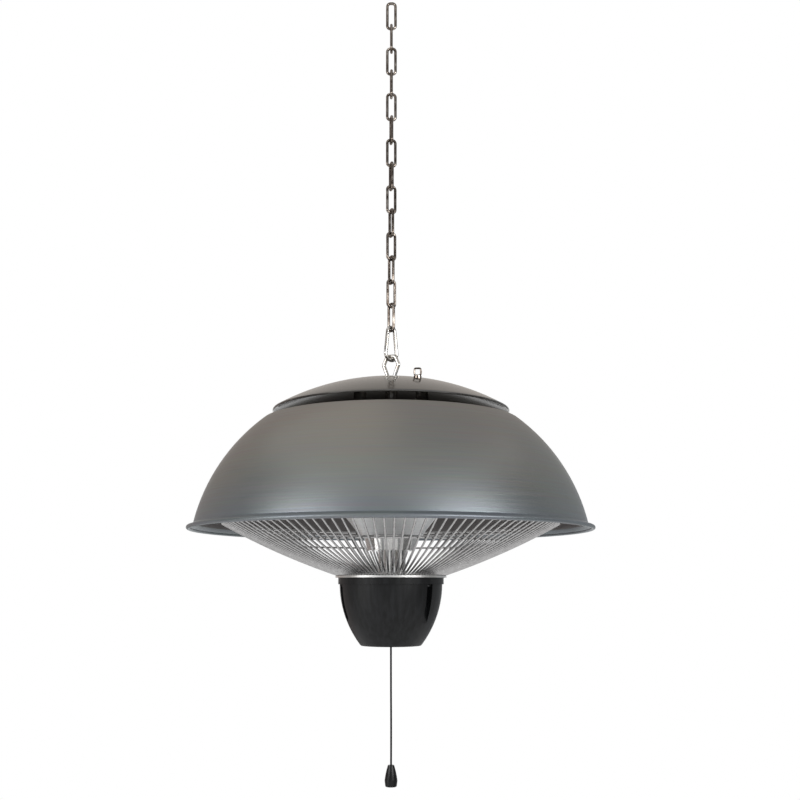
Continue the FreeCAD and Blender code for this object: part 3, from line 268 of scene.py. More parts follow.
def grown(name, tree, sizes, material, body, sharp=35):
    """Runs a geometry tree with its sizes and keeps the result as a plain mesh on a body."""
    maker = bpy.data.objects.new(name + "_maker", bpy.data.meshes.new(name + "_maker"))
    bpy.context.scene.collection.objects.link(maker)
    step = maker.modifiers.new("grow", "NODES")
    step.node_group = tree
    for socket in tree.interface.items_tree:
        if socket.in_out == "INPUT":
            step[socket.identifier] = sizes[socket.name]
    ready = maker.evaluated_get(bpy.context.evaluated_depsgraph_get())
    mesh = bpy.data.meshes.new_from_object(ready)
    bpy.data.objects.remove(maker)
    mesh.name = name
    return finished(name, mesh, material, body, sharp)


LINK_COUNT = 14
LINK_SIZES = {"Wire": 0.003, "Width": 0.009, "Length": 0.0295, "Corner": 0.0036}
LINK_TWIST, UNTWISTED_LINKS = math.radians(3.3), 3

# Nickel plating: mirror-like and warm; its colour is painted dark, in patches, as painted dark reflections of
# the room around it.
nickel = mottled("nickel_plating_painted_dark_reflections", patch=0.006, detail=4.0, roughness=(0.16, 0.08),
                 stops=[(0.35, "#4E453E"), (0.55, "#7C736B"), (0.7, "#B3ABA3")], sockets={"Metallic": 1.0})

link_tree, size = new_tree("welded_link", ["Wire", "Width", "Length", "Corner", "Turn", "Height"])
square_line = node(link_tree, "GeometryNodeCurvePrimitiveQuadrilateral",
                   {"Width": size["Width"], "Height": size["Length"]})
bent_line = node(link_tree, "GeometryNodeFilletCurve",
                 {"Curve": square_line.outputs["Curve"], "Radius": size["Corner"], "Count": 10,
                  "Limit Radius": True}, mode="POLY")
link_wire = wire_along(link_tree, bent_line.outputs["Curve"], size["Wire"], sides=20, capped=False)
upright = node(link_tree, "GeometryNodeTransform", {"Geometry": link_wire, "Rotation": (math.pi / 2, 0, 0)})
turn = node(link_tree, "ShaderNodeCombineXYZ", {"Z": size["Turn"]})
height = node(link_tree, "ShaderNodeCombineXYZ", {"Z": size["Height"]})
hung = node(link_tree, "GeometryNodeTransform",
            {"Geometry": upright.outputs["Geometry"], "Rotation": turn.outputs[0],
             "Translation": height.outputs[0]})
end_tree(link_tree, hung.outputs["Geometry"], nickel)

for number in range(1, LINK_COUNT + 1):
    cad_link = f"chain_link_{number:02d}"
    low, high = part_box(cad_link)
    crosswise = math.pi / 2 if number % 2 == 0 else 0.0
    twist = LINK_TWIST * max(0, number - UNTWISTED_LINKS)
    sizes = {**LINK_SIZES, "Turn": crosswise + twist, "Height": (low[2] + high[2]) / 2}
    link = grown(f"welded_link_{number:02d}", link_tree, sizes, nickel, cad_link, sharp=80)
    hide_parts(cad_link)


# Snap hook, suspension eye and tether eye: bent steel wire, zinc plated but for the tether eye, which has
# the chain's nickel. The hook's gate turns on a riveted pin; the suspension eye's legs go down through
# collars, cap, shade and hanger plate.
def smooth_copy(cad_node, material, body, sharp=35):
    """Finished copy of a CAD node: its loose triangles joined, and shaded smooth between its edges."""
    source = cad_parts[cad_node].data
    shape = bmesh.new()
    corners = [shape.verts.new(v.co) for v in source.vertices]
    for face in source.polygons:
        shape.faces.new([corners[i] for i in face.vertices])
    bmesh.ops.remove_doubles(shape, verts=shape.verts, dist=1e-6)
    mesh = bpy.data.meshes.new(cad_node + "_finished")
    shape.to_mesh(mesh)
    shape.free()
    piece = finished(cad_node + "_finished", mesh, material, body, sharp)
    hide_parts(cad_node)
    return piece


# Bright zinc plating: shiny, a little cloudy, with a faint bluish and yellowish play of colour.
ZINC_CLOUD, ZINC_GRAIN = 0.008, 0.0006
zinc, tree, surface = new_material("bright_zinc_plating")
place = node(tree, "ShaderNodeTexCoord").outputs["Object"]
cloud = node(tree, "ShaderNodeTexNoise", {"Vector": place, "Scale": 1 / ZINC_CLOUD, "Detail": 5.0})
colour = node(tree, "ShaderNodeValToRGB", {"Fac": cloud.outputs["Fac"]},
              stops=[(0.3, "#AFA79C"), (0.5, "#C4C0BA"), (0.7, "#B4B5B6")])
tree.links.new(colour.outputs["Color"], surface.inputs["Base Color"])
spread = node(tree, "ShaderNodeMapRange", {"Value": cloud.outputs["Fac"], "To Min": 0.12, "To Max": 0.26})
tree.links.new(spread.outputs["Result"], surface.inputs["Roughness"])
surface.inputs["Metallic"].default_value = 1.0
grain = node(tree, "ShaderNodeTexNoise", {"Vector": place, "Scale": 1 / ZINC_GRAIN, "Detail": 2.0})
bump = node(tree, "ShaderNodeBump", {"Height": grain.outputs["Fac"], "Strength": 0.12, "Distance": 0.00005})
tree.links.new(bump.outputs["Normal"], surface.inputs["Normal"])

for cad_node in ("snap_hook_body", "snap_hook_pin"):
    smooth_copy(cad_node, zinc, "snap_hook")
smooth_copy("snap_hook_gate", zinc, "snap_hook_gate")
for cad_node in ("suspension_eye", "eye_collars", "tether_nut", "cap_studs", "cap_spacers"):
    smooth_copy(cad_node, zinc, "heater")
smooth_copy("tether_eye", nickel, "heater")


# Rain cap: a shallow steel crown, spun, with its edge rolled under into a bead, painted like the shade
# but smoother and glossier. It stands on three spacers above the vents.
CAP_R, CAP_CREST, CAP_CROWN, CAP_WALL = 126.0, 160.7, 247.0, 1.0
CAP_BEAD, CAP_ROLL, CAP_ROLL_STEPS = 1.1, math.radians(300), 20
CAP_INSIDE_REACH = 0.985
LEVEL_FACE = 0.5

# Grey metallic enamel: smooth and glossy, with a fine flake under a clear coat.
cap_enamel = mottled("gloss_grey_metallic_enamel", patch=0.0012, detail=2.0, roughness=0.18,
                     stops=[(0.3, "#62605D"), (0.7, "#6C6A67")],
                     sockets={"Metallic": 0.75, "Coat Weight": 0.5, "Coat Roughness": 0.05})

cap_centre = CAP_CREST - CAP_CROWN
cap_lean = math.asin((CAP_R - CAP_BEAD) / (CAP_CROWN - CAP_BEAD))


def crown_line(crown, first, last, count=28):
    """Points on the cap's crown from one angle off the axis to another."""
    angles = [first + (last - first) * i / count for i in range(count + 1)]
    return [(crown * math.sin(a), cap_centre + crown * math.cos(a)) for a in angles]


bead_r = CAP_R - CAP_BEAD
bead_z = cap_centre + (CAP_CROWN - CAP_BEAD) * math.cos(cap_lean)
bead_turns = [math.pi / 2 - cap_lean - CAP_ROLL * i / CAP_ROLL_STEPS for i in range(1, CAP_ROLL_STEPS + 1)]
bead_roll = [(bead_r + CAP_BEAD * math.cos(t), bead_z + CAP_BEAD * math.sin(t)) for t in bead_turns]
cap_outside = crown_line(CAP_CROWN, 0, cap_lean)
cap_inside = crown_line(CAP_CROWN - CAP_WALL, cap_lean * CAP_INSIDE_REACH, 0)
rain_cap = spun("rain_cap_spinning", cap_outside + bead_roll + cap_inside, cap_enamel, "heater", steps=256)


def punched(piece, holes, height, punch_length=0.02):
    """Cuts upright round holes, each (x, y, diameter) in mm, through a piece about a height above the rim."""
    shape = bmesh.new()
    for x, y, diameter in holes:
        place = Matrix.Translation((x / 1000, y / 1000, RIM_Z + height / 1000))
        bmesh.ops.create_cone(shape, cap_ends=True, segments=32, radius1=diameter / 2000,
                              radius2=diameter / 2000, depth=punch_length, matrix=place)
    punch_mesh = bpy.data.meshes.new(piece.name + "_punch")
    shape.to_mesh(punch_mesh)
    shape.free()
    punch = bpy.data.objects.new(piece.name + "_punch", punch_mesh)
    bpy.context.scene.collection.objects.link(punch)
    cut = piece.modifiers.new("holes", "BOOLEAN")
    cut.object = punch
    cut.operation = "DIFFERENCE"
    cut.solver = "EXACT"
    pierced = bpy.data.meshes.new_from_object(piece.evaluated_get(bpy.context.evaluated_depsgraph_get()))
    piece.modifiers.remove(cut)
    piece.data = pierced
    bpy.data.objects.remove(punch)


LEG_HOLES = [(3.71, -1.5, 4.6), (-3.71, 1.5, 4.6)]
CABLE_HOLE = (-37.0, 10.0, 12.2)
TETHER_HOLE = (27.2, -70.0, 3.4)
CAP_PUNCH_DROP = 4.0
punched(rain_cap, LEG_HOLES + [CABLE_HOLE, TETHER_HOLE], CAP_CREST - CAP_PUNCH_DROP)

# Painted shade under the cap: glossy black enamel on the underside stands for the shade that falls there,
# slightly uneven in tone.
under_cap_painted_shade = mottled("gloss_black_painted_shade", patch=0.01, detail=4.0, roughness=0.15,
                       stops=[(0.3, "#232322"), (0.7, "#2C2C2B")])
rain_cap.data.materials.append(under_cap_painted_shade)
# Downward faces inside the bead take the painted shade.
for face in rain_cap.data.polygons:
    within = math.hypot(face.center.x, face.center.y) < (bead_r - 2 * CAP_BEAD) / 1000
    face.material_index = 1 if within and face.normal.z < -LEVEL_FACE else 0
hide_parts("rain_cap")


# Grommets: black rubber rings, moulded, that are pressed into the holes for the mains cable in the cap
# and in the shade's top.

# Moulded rubber: dull, slightly dusty.
rubber = mottled("moulded_black_rubber", patch=0.003, detail=5.0, roughness=0.75,
                 stops=[(0.3, "#161616"), (0.75, "#2A2A29")])
for cad_node in ("cable_grommet", "shade_grommet"):
    smooth_copy(cad_node, rubber, "heater")


# Shade: one steel spinning with a flat vented top, a knuckle, a deep dome, a flared lip and a wired rim,
# sprayed in satin grey metallic paint through which the spinning marks show as fine level lines.
RIM_R, RIM_BEAD, RIM_BEAD_Z = 212.5, 2.1, 0.6
RIM_ROLL_START, RIM_ROLL, RIM_ROLL_STEPS = 110, 300, 24
FOOT_R, FOOT_Z = 205.4, 5.0
SHOULDER_R, SHADE_ARC, SHADE_WALL, KNUCKLE = 135.4, 193.5, 1.0, 4.0
VENT_COUNT, VENT_D, VENT_RING = 12, 14.0, 92.0
STUD_ANGLES, STUD_HOLE_D, STUD_RING = (210, 330, 90), 5.2, 37.5
HAIRLINE, HAIRLINE_STRETCH, PAINTED_LIGHT_RISE, COAT_DRIFT = 0.0014, 12.0, 0.115, 0.12

# Satin grey metallic paint on a spun surface: level hairlines half a millimetre apart, drawn at 1.4 mm so
# that they show. Painted light: the colour is lighter and warmer towards the top and darker and cooler
# towards the rim, under a slow random drift.
shade_paint, tree, surface = new_material("satin_grey_metallic_paint")
place = node(tree, "ShaderNodeTexCoord").outputs["Object"]
split = node(tree, "ShaderNodeSeparateXYZ", {"Vector": place})
flat_place = node(tree, "ShaderNodeVectorMath",
                  {0: place, 1: (HAIRLINE_STRETCH, HAIRLINE_STRETCH, 1 / HAIRLINE)}, operation="MULTIPLY")
hairline = node(tree, "ShaderNodeTexNoise",
                {"Vector": flat_place.outputs[0], "Scale": 1.0, "Detail": 4.0, "Roughness": 0.6})
# Painted light: the height above the rim turns the colour from dark and cool to light and warm.
rise = node(tree, "ShaderNodeMapRange",
            {"Value": split.outputs["Z"], "From Min": RIM_Z, "From Max": RIM_Z + PAINTED_LIGHT_RISE})
drift = node(tree, "ShaderNodeTexNoise", {"Vector": place, "Scale": 1 / COAT_DRIFT, "Detail": 2.0})
blend = node(tree, "ShaderNodeMath", {0: drift.outputs["Fac"], 1: 0.35, 2: rise.outputs["Result"]},
             operation="MULTIPLY_ADD")
coat_and_painted_light = node(tree, "ShaderNodeValToRGB", {"Fac": blend.outputs[0]},
            stops=[(0.1, "#71787E"), (0.6, "#7A7B77"), (1.0, "#807C76")])
tint = node(tree, "ShaderNodeMix",
            {"Factor": 0.14, "A": coat_and_painted_light.outputs["Color"], "B": hairline.outputs["Color"]},
            data_type="RGBA", blend_type="OVERLAY")
tree.links.new(tint.outputs["Result"], surface.inputs["Base Color"])
spread = node(tree, "ShaderNodeMapRange", {"Value": hairline.outputs["Fac"], "To Min": 0.3, "To Max": 0.5})
tree.links.new(spread.outputs["Result"], surface.inputs["Roughness"])
surface.inputs["Metallic"].default_value = 0.7
bump = node(tree, "ShaderNodeBump", {"Height": hairline.outputs["Fac"], "Strength": 0.5, "Distance": 0.0002})
tree.links.new(bump.outputs["Normal"], surface.inputs["Normal"])

chord_r, chord_z = SHOULDER_R - FOOT_R, SHADE_TOP - FOOT_Z
chord = math.hypot(chord_r, chord_z)
reach = math.sqrt(SHADE_ARC**2 - chord**2 / 4)
dome_r = (SHOULDER_R + FOOT_R) / 2 - reach * chord_z / chord
dome_z = (SHADE_TOP + FOOT_Z) / 2 + reach * chord_r / chord


def dome_line(inset, low, high, count=40):
    """Points up the dome's side, inset from its outside, between two heights."""
    heights = [low + (high - low) * i / count for i in range(count + 1)]
    return [(dome_r + math.sqrt((SHADE_ARC - inset)**2 - (z - dome_z)**2), z) for z in heights]


def knuckle_line(inset, rounding, top, count=8):
    """Rolled corner between the dome's side and its flat top."""
    centre_z = top - rounding
    centre_r = dome_r + math.sqrt((SHADE_ARC - inset - rounding)**2 - (centre_z - dome_z)**2)
    first = math.atan2(centre_z - dome_z, centre_r - dome_r)
    turns = [first + (math.pi / 2 - first) * i / count for i in range(count + 1)]
    return [(centre_r + rounding * math.cos(t), centre_z + rounding * math.sin(t)) for t in turns]


knuckle_out = knuckle_line(0, KNUCKLE, SHADE_TOP)
knuckle_in = knuckle_line(SHADE_WALL, KNUCKLE - SHADE_WALL, SHADE_TOP - SHADE_WALL)
rim_r = RIM_R - RIM_BEAD
rim_degrees = [RIM_ROLL_START - RIM_ROLL * i / RIM_ROLL_STEPS for i in range(RIM_ROLL_STEPS + 1)]
rim_turns = [math.radians(d) for d in rim_degrees]
rim_roll = [(rim_r + RIM_BEAD * math.cos(t), RIM_BEAD_Z + RIM_BEAD * math.sin(t)) for t in rim_turns]
outside = [(0, SHADE_TOP)] + knuckle_out[::-1] + dome_line(0, FOOT_Z, knuckle_out[0][1])[::-1][1:]
inside = dome_line(SHADE_WALL, FOOT_Z, knuckle_in[0][1])[:-1] + knuckle_in + [(0, SHADE_TOP - SHADE_WALL)]
shade = spun("shade_spinning", outside + rim_roll + inside, shade_paint, "heater", steps=288, sharp=40)


def hole_ring(radius, turns, diameter):
    """Holes on a circle about the heater's axis."""
    return [(radius * math.cos(t), radius * math.sin(t), diameter) for t in turns]


# The vents, the stud holes, the leg holes and the cable's hole are punched through the flat top.
vents = hole_ring(VENT_RING, [math.tau * i / VENT_COUNT for i in range(VENT_COUNT)], VENT_D)
stud_holes = hole_ring(STUD_RING, [math.radians(a) for a in STUD_ANGLES], STUD_HOLE_D)
punched(shade, vents + stud_holes + LEG_HOLES + [CABLE_HOLE], SHADE_TOP)

# Painted shade inside the shade: a flat warm dark grey on the inner faces stands for the shade that falls
# there.
inside_painted_shade = mottled("flat_warm_grey_painted_shade", patch=0.01, detail=4.0, roughness=0.6,
                       stops=[(0.3, "#5E5A5A"), (0.7, "#686464")])
shade.data.materials.append(inside_painted_shade)
# Inward and downward faces inside the rim take the painted shade.
for face in shade.data.polygons:
    outward = face.normal.x * face.center.x + face.normal.y * face.center.y
    within = math.hypot(face.center.x, face.center.y) < (RIM_R - 3 * RIM_BEAD) / 1000
    if within and face.normal.z < LEVEL_FACE and (outward < 0 or face.normal.z < -LEVEL_FACE):
        face.material_index = 1
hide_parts("shade")


# Reflector: bright aluminium, spun in one piece from the neck at the hub up a trumpet flare, over the
# lamps and out to the shade. It lies on the hub plate and is clamped there by the cup.
NECK_R, NECK_Z, NECK_FLANGE = 33.0, -6.2, 4.0
FLARE_R, FLARE_Z = 46.0, 10.8
VAULT_START_R, VAULT_START_Z, VAULT_R, VAULT_Z, VAULT_FULLNESS = 72.0, 35.0, 140.0, 60.0, 0.72
EDGE_Z, REFLECTOR_WALL, TURNING_LINE = 44.0, 1.0, 0.0022
EDGE_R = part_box("reflector")[1][0] * 1000

# Spun bright aluminium: a soft shine, with turning lines drawn about 2 mm apart so that they show.
bright_aluminium, tree, surface = new_material("spun_bright_aluminium")
place = node(tree, "ShaderNodeTexCoord").outputs["Object"]
split = node(tree, "ShaderNodeSeparateXYZ", {"Vector": place})
flat = node(tree, "ShaderNodeCombineXYZ", {"X": split.outputs["X"], "Y": split.outputs["Y"]})
radius = node(tree, "ShaderNodeVectorMath", {0: flat.outputs[0]}, operation="LENGTH")
ring_place = node(tree, "ShaderNodeCombineXYZ", {"X": radius.outputs["Value"], "Y": split.outputs["Z"]})
turning = node(tree, "ShaderNodeTexNoise",
               {"Vector": ring_place.outputs[0], "Scale": 1 / TURNING_LINE, "Detail": 2.0})
colour = node(tree, "ShaderNodeValToRGB", {"Fac": turning.outputs["Fac"]},
              stops=[(0.25, "#E2E3E4"), (0.75, "#EEEFEF")])
tree.links.new(colour.outputs["Color"], surface.inputs["Base Color"])
spread = node(tree, "ShaderNodeMapRange", {"Value": turning.outputs["Fac"], "To Min": 0.36, "To Max": 0.44})
tree.links.new(spread.outputs["Result"], surface.inputs["Roughness"])
surface.inputs["Metallic"].default_value = 1.0
bump = node(tree, "ShaderNodeBump", {"Height": turning.outputs["Fac"], "Strength": 0.05, "Distance": 0.00005})
tree.links.new(bump.outputs["Normal"], surface.inputs["Normal"])


def reflector_line(lift):
    """Section of the reflector from its flange to its outer edge."""
    vault_middle = ((VAULT_START_R + VAULT_R) / 2, VAULT_START_Z + (VAULT_Z - VAULT_START_Z) * VAULT_FULLNESS)
    outer_middle = ((VAULT_R + EDGE_R) / 2, EDGE_Z + (VAULT_Z - EDGE_Z) * VAULT_FULLNESS)
    line = [(NECK_R - NECK_FLANGE, NECK_Z)]
    line += arc_points((NECK_R, NECK_Z), (FLARE_R, FLARE_Z), (VAULT_START_R, VAULT_START_Z), count=24)
    line += arc_points((VAULT_START_R, VAULT_START_Z), vault_middle, (VAULT_R, VAULT_Z), count=20)[1:]
    line += arc_points((VAULT_R, VAULT_Z), outer_middle, (EDGE_R, EDGE_Z), count=12)[1:]
    return [(radius, height + lift) for radius, height in line]


reflector_outline = reflector_line(0) + reflector_line(REFLECTOR_WALL)[::-1]
reflector = spun("reflector_spinning", reflector_outline, bright_aluminium, "heater", steps=224)
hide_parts("reflector")


# Hub cup, pillars, base plate and guard collar: turned and pressed stainless steel, clamped together by a
# tie rod through each pillar. They carry the guard and the switch housing.
POLISH_LINE, POLISH_STRETCH = 0.0011, 60.0

# Stainless steel, polished on cup and pillars and satin on plate and collar: reflections that are drawn out,
# a little or a lot, by polishing lines about a millimetre apart.
for finish, least, most, cad_nodes in (("polished_stainless_steel", 0.06, 0.16, ("hub_cup", "pillars")),
                                       ("satin_stainless_steel", 0.3, 0.42, ("base_plate", "guard_collar"))):
    stainless, tree, surface = new_material(finish)
    place = node(tree, "ShaderNodeTexCoord").outputs["Object"]
    lines = node(tree, "ShaderNodeVectorMath",
                 {0: place, 1: (POLISH_STRETCH, POLISH_STRETCH, 1 / POLISH_LINE)}, operation="MULTIPLY")
    polish = node(tree, "ShaderNodeTexNoise", {"Vector": lines.outputs[0], "Scale": 1.0, "Detail": 3.0})
    colour = node(tree, "ShaderNodeValToRGB", {"Fac": polish.outputs["Fac"]},
                  stops=[(0.3, "#CFCFCE"), (0.7, "#DAD9D7")])
    tree.links.new(colour.outputs["Color"], surface.inputs["Base Color"])
    spread = node(tree, "ShaderNodeMapRange",
                  {"Value": polish.outputs["Fac"], "To Min": least, "To Max": most})
    tree.links.new(spread.outputs["Result"], surface.inputs["Roughness"])
    surface.inputs["Metallic"].default_value = 1.0
    for cad_node in cad_nodes:
        smooth_copy(cad_node, stainless, "heater")


# Guard: drawn steel wires that fan from the collar to the outer hoop in a shallow sag, welded under two
# cross rings and the hoop.
GUARD_WIRES, GUARD_WIRE, GUARD_SAG = 112, 0.002, 0.0028
GUARD_INNER = Vector((0.0572, 0, RIM_Z - 0.0472))
GUARD_OUTER = Vector((0.1765, 0, RIM_Z + 0.0055))
HOOP_INSET, HOOP_WIRE = 0.0015, 0.003
CROSS_RINGS, CROSS_WIRE, WELD_GAP = (0.168, 0.1345), 0.0022, 0.00003

# Drawn steel wire: bright, with a satin skin.
drawn_steel = mottled("bright_drawn_steel_wire", patch=0.004, detail=4.0, roughness=(0.18, 0.32),
                      stops=[(0.3, "#A2A1A1"), (0.7, "#BAB9B9")], sockets={"Metallic": 1.0})

guard_chord = GUARD_OUTER - GUARD_INNER
guard_down = Vector((guard_chord.z, 0, -guard_chord.x)).normalized()
guard_middle = (GUARD_INNER + GUARD_OUTER) / 2 + guard_down * GUARD_SAG
guard_arc = (guard_chord.length**2 / 4 + GUARD_SAG**2) / (2 * GUARD_SAG)
guard_centre = guard_middle - guard_down * guard_arc

wire_tree, size = new_tree("guard_wires", ["Wire", "Count"])
wire_line = node(wire_tree, "GeometryNodeCurveArc",
                 {"Resolution": 17, "Start": GUARD_INNER, "Middle": guard_middle, "End": GUARD_OUTER},
                 mode="POINTS")
one_wire = wire_along(wire_tree, wire_line.outputs["Curve"], size["Wire"], sides=12, capped=True)
hub_points = node(wire_tree, "GeometryNodePoints", {"Count": size["Count"]})
order = node(wire_tree, "GeometryNodeInputIndex")
half_step = node(wire_tree, "ShaderNodeMath", {0: order.outputs[0], 1: 0.5}, operation="ADD")
share = node(wire_tree, "ShaderNodeMath", {0: half_step.outputs[0], 1: size["Count"]}, operation="DIVIDE")
turn = node(wire_tree, "ShaderNodeMath", {0: share.outputs[0], 1: math.tau}, operation="MULTIPLY")
turn_about = node(wire_tree, "ShaderNodeCombineXYZ", {"Z": turn.outputs[0]})
fan = node(wire_tree, "GeometryNodeInstanceOnPoints",
           {"Points": hub_points.outputs[0], "Instance": one_wire, "Rotation": turn_about.outputs[0]})
end_tree(wire_tree, fan.outputs["Instances"], drawn_steel)
guard_wires = grown("guard_wire_fan", wire_tree, {"Wire": GUARD_WIRE, "Count": float(GUARD_WIRES)},
                    drawn_steel, "heater", sharp=50)
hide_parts("guard_wires")


def guard_ring(radius, wire, sides=14):
    """Outline of a ring on the upper side of the wires, where they pass a radius, in mm from the rim."""
    on_wire = Vector((radius, 0, guard_centre.z - math.sqrt(guard_arc**2 - (radius - guard_centre.x)**2)))
    centre = on_wire + (guard_centre - on_wire).normalized() * ((GUARD_WIRE + wire) / 2 + WELD_GAP)
    turns = [math.tau * i / sides for i in range(sides)]
    return [((centre.x + wire / 2 * math.cos(t)) * 1000, (centre.z - RIM_Z + wire / 2 * math.sin(t)) * 1000)
            for t in turns]


hoop_outline = guard_ring(GUARD_OUTER.x - HOOP_INSET, HOOP_WIRE)
hoop = spun("guard_hoop_wire", hoop_outline, drawn_steel, "heater", steps=224)
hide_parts("guard_hoop")
cross_rings = [spun(f"guard_cross_ring_{i}", guard_ring(r, CROSS_WIRE), drawn_steel, "heater", steps=224)
               for i, r in enumerate(CROSS_RINGS)]
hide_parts("guard_rings")


# Switch housing: a black pot, injection moulded, with a lip at its top, three screw channels up its side
# and a fine spark-eroded grain. Three screws hold it and the guard collar to the base plate.
POT_GRAIN, FLOW_LINE, FLOW_STRETCH = 0.0009, 0.004, 12.0

# Grained black polypropylene: dull sheen, grain of about half a millimetre, drawn at 0.9 mm so that it
# shows, and faint upright flow lines.
pot_plastic, tree, surface = new_material("grained_black_polypropylene")
place = node(tree, "ShaderNodeTexCoord").outputs["Object"]
grain = node(tree, "ShaderNodeTexNoise", {"Vector": place, "Scale": 1 / POT_GRAIN, "Detail": 3.0})
flow_place = node(tree, "ShaderNodeVectorMath",
                  {0: place, 1: (1 / FLOW_LINE, 1 / FLOW_LINE, FLOW_STRETCH)}, operation="MULTIPLY")
flow = node(tree, "ShaderNodeTexNoise", {"Vector": flow_place.outputs[0], "Scale": 1.0, "Detail": 3.0})
colour = node(tree, "ShaderNodeValToRGB", {"Fac": flow.outputs["Fac"]},
              stops=[(0.35, "#0A0B0C"), (0.65, "#191A1C")])
tree.links.new(colour.outputs["Color"], surface.inputs["Base Color"])
spread = node(tree, "ShaderNodeMapRange", {"Value": flow.outputs["Fac"], "To Min": 0.38, "To Max": 0.5})
tree.links.new(spread.outputs["Result"], surface.inputs["Roughness"])
bump = node(tree, "ShaderNodeBump", {"Height": grain.outputs["Fac"], "Strength": 0.2, "Distance": 0.0001})
tree.links.new(bump.outputs["Normal"], surface.inputs["Normal"])
surface.inputs["Specular IOR Level"].default_value = 0.24
smooth_copy("switch_housing", pot_plastic, "heater")

# Black oxide on steel: dark, slightly glossy with oil.
black_oxide = mottled("black_oxide_steel", patch=0.002, detail=4.0, roughness=0.4,
                      stops=[(0.3, "#1E1E1F"), (0.7, "#333334")], sockets={"Metallic": 1.0})
smooth_copy("housing_screws", black_oxide, "heater")
smooth_copy("cord_bush", gloss_black, "heater")


# Ring lamps: quartz tubes bent to open rings, a coiled filament in each, ceramic ends on the reflector
# and spring-wire clips opposite. They show only from below, through the guard.

# Clear quartz: glass with thin walls and a slight warm haze.
quartz = mottled("clear_quartz_tube", patch=0.02, detail=3.0, roughness=0.05,
                 stops=[(0.3, "#F6F1E8"), (0.7, "#FFFFFF")],
                 sockets={"IOR": 1.46, "Transmission Weight": 1.0})
for cad_node in ("lamp_inner", "lamp_outer"):
    smooth_copy(cad_node, quartz, "heater")

# Carbon heating coil: dark, with the pitch of its winding.
heating_coil = mottled("carbon_heating_coil", patch=0.0015, detail=1.0, roughness=0.5,
                       stops=[(0.4, "#2A2623"), (0.6, "#6E665E")], sockets={"Metallic": 0.8})
smooth_copy("filaments", heating_coil, "heater")

# Steatite ceramic: off-white, dull, faintly speckled.
steatite = mottled("steatite_ceramic", patch=0.001, detail=3.0, roughness=0.6,
                   stops=[(0.35, "#D8D2C4"), (0.6, "#EDE9DF")])
for cad_node in ("lamp_ceramics", "terminal_block"):
    smooth_copy(cad_node, steatite, "heater")


# Works inside the shade and the housing: plates cut and bent from plain steel, stays, rods and nuts that
# bolt them together, and the pull switch with its lever.

# Plain cold-rolled sheet: grey, with an oily satin skin.
sheet_steel = mottled("cold_rolled_steel", patch=0.01, detail=5.0, roughness=0.38,
                      stops=[(0.3, "#7F7F7E"), (0.7, "#9A9A98")], sockets={"Metallic": 1.0})
for cad_node in ("hanger_plate", "hub_stays", "hub_plate", "tie_rods", "lamp_clips", "switch_bracket"):
    smooth_copy(cad_node, sheet_steel, "heater")
for cad_node in ("eye_nuts", "cap_nuts", "stay_nuts", "tie_nuts", "lever_pin"):
    smooth_copy(cad_node, zinc, "heater")
smooth_copy("switch_body", gloss_black, "heater")
smooth_copy("switch_lever", sheet_steel, "switch_lever")
for cad_node, material in (("snap_hook_spring", sheet_steel), ("cord_ferrule", zinc)):
    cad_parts[cad_node].data.materials.clear()
    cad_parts[cad_node].data.materials.append(material)


# Studio: a pale round floor well below the hanging heater and a white surround, two soft boxes at the front
# and one low at the left. Dark and pale cards stand out of sight, so that metal has something to reflect.
FLOOR_Z, FLOOR_R = -2.0, 3.0
FLOOR_FADE_R, FLOOR_WHITENESS, SURROUND_LIGHT = 0.5, 0.8, 0.4
floor_shape = bmesh.new()
bmesh.ops.create_circle(floor_shape, cap_ends=True, segments=96, radius=FLOOR_R,
                        matrix=Matrix.Translation((0, 0, FLOOR_Z)))
floor_mesh = bpy.data.meshes.new("studio_floor")
floor_shape.to_mesh(floor_mesh)
floor_shape.free()
floor = bpy.data.objects.new("studio_floor", floor_mesh)
bpy.context.scene.collection.objects.link(floor)


def sight(tree):
    """Light path output that is 1 for what the camera sees, straight, mirrored or through glass."""
    seen = node(tree, "ShaderNodeLightPath").outputs
    mirrored = node(tree, "ShaderNodeMath", {0: seen["Is Camera Ray"], 1: seen["Is Glossy Ray"]},
                    operation="MAXIMUM")
    through = node(tree, "ShaderNodeMath", {0: mirrored.outputs[0], 1: seen["Is Transmission Ray"]},
                   operation="MAXIMUM")
    return through.outputs[0]


# White floor paint that keeps a soft shadow under the heater and melts into the surround at its edge.
floor_paint = bpy.data.materials.new("white_studio_floor")
floor_paint.use_nodes = True
tree = floor_paint.node_tree
tree.nodes.clear()
place = node(tree, "ShaderNodeTexCoord").outputs["Object"]
flat_place = node(tree, "ShaderNodeVectorMath", {0: place, 1: (1.0, 1.0, 0.0)}, operation="MULTIPLY")
out = node(tree, "ShaderNodeVectorMath", {0: flat_place.outputs[0]}, operation="LENGTH")
fade = node(tree, "ShaderNodeMapRange",
            {"Value": out.outputs["Value"], "From Min": FLOOR_FADE_R, "From Max": FLOOR_R,
             "To Min": FLOOR_WHITENESS, "To Max": 1.0})
whiten = node(tree, "ShaderNodeMath", {0: sight(tree), 1: fade.outputs["Result"]}, operation="MULTIPLY")
matt = node(tree, "ShaderNodeBsdfDiffuse", {"Color": linear("#F2F2F0")})
white = node(tree, "ShaderNodeEmission", {"Color": linear("#FFFFFF"), "Strength": 1.0})
mixed = node(tree, "ShaderNodeMixShader", {0: whiten.outputs[0], 1: matt.outputs[0], 2: white.outputs[0]})
node(tree, "ShaderNodeOutputMaterial", {"Surface": mixed.outputs[0]})
floor_mesh.materials.append(floor_paint)

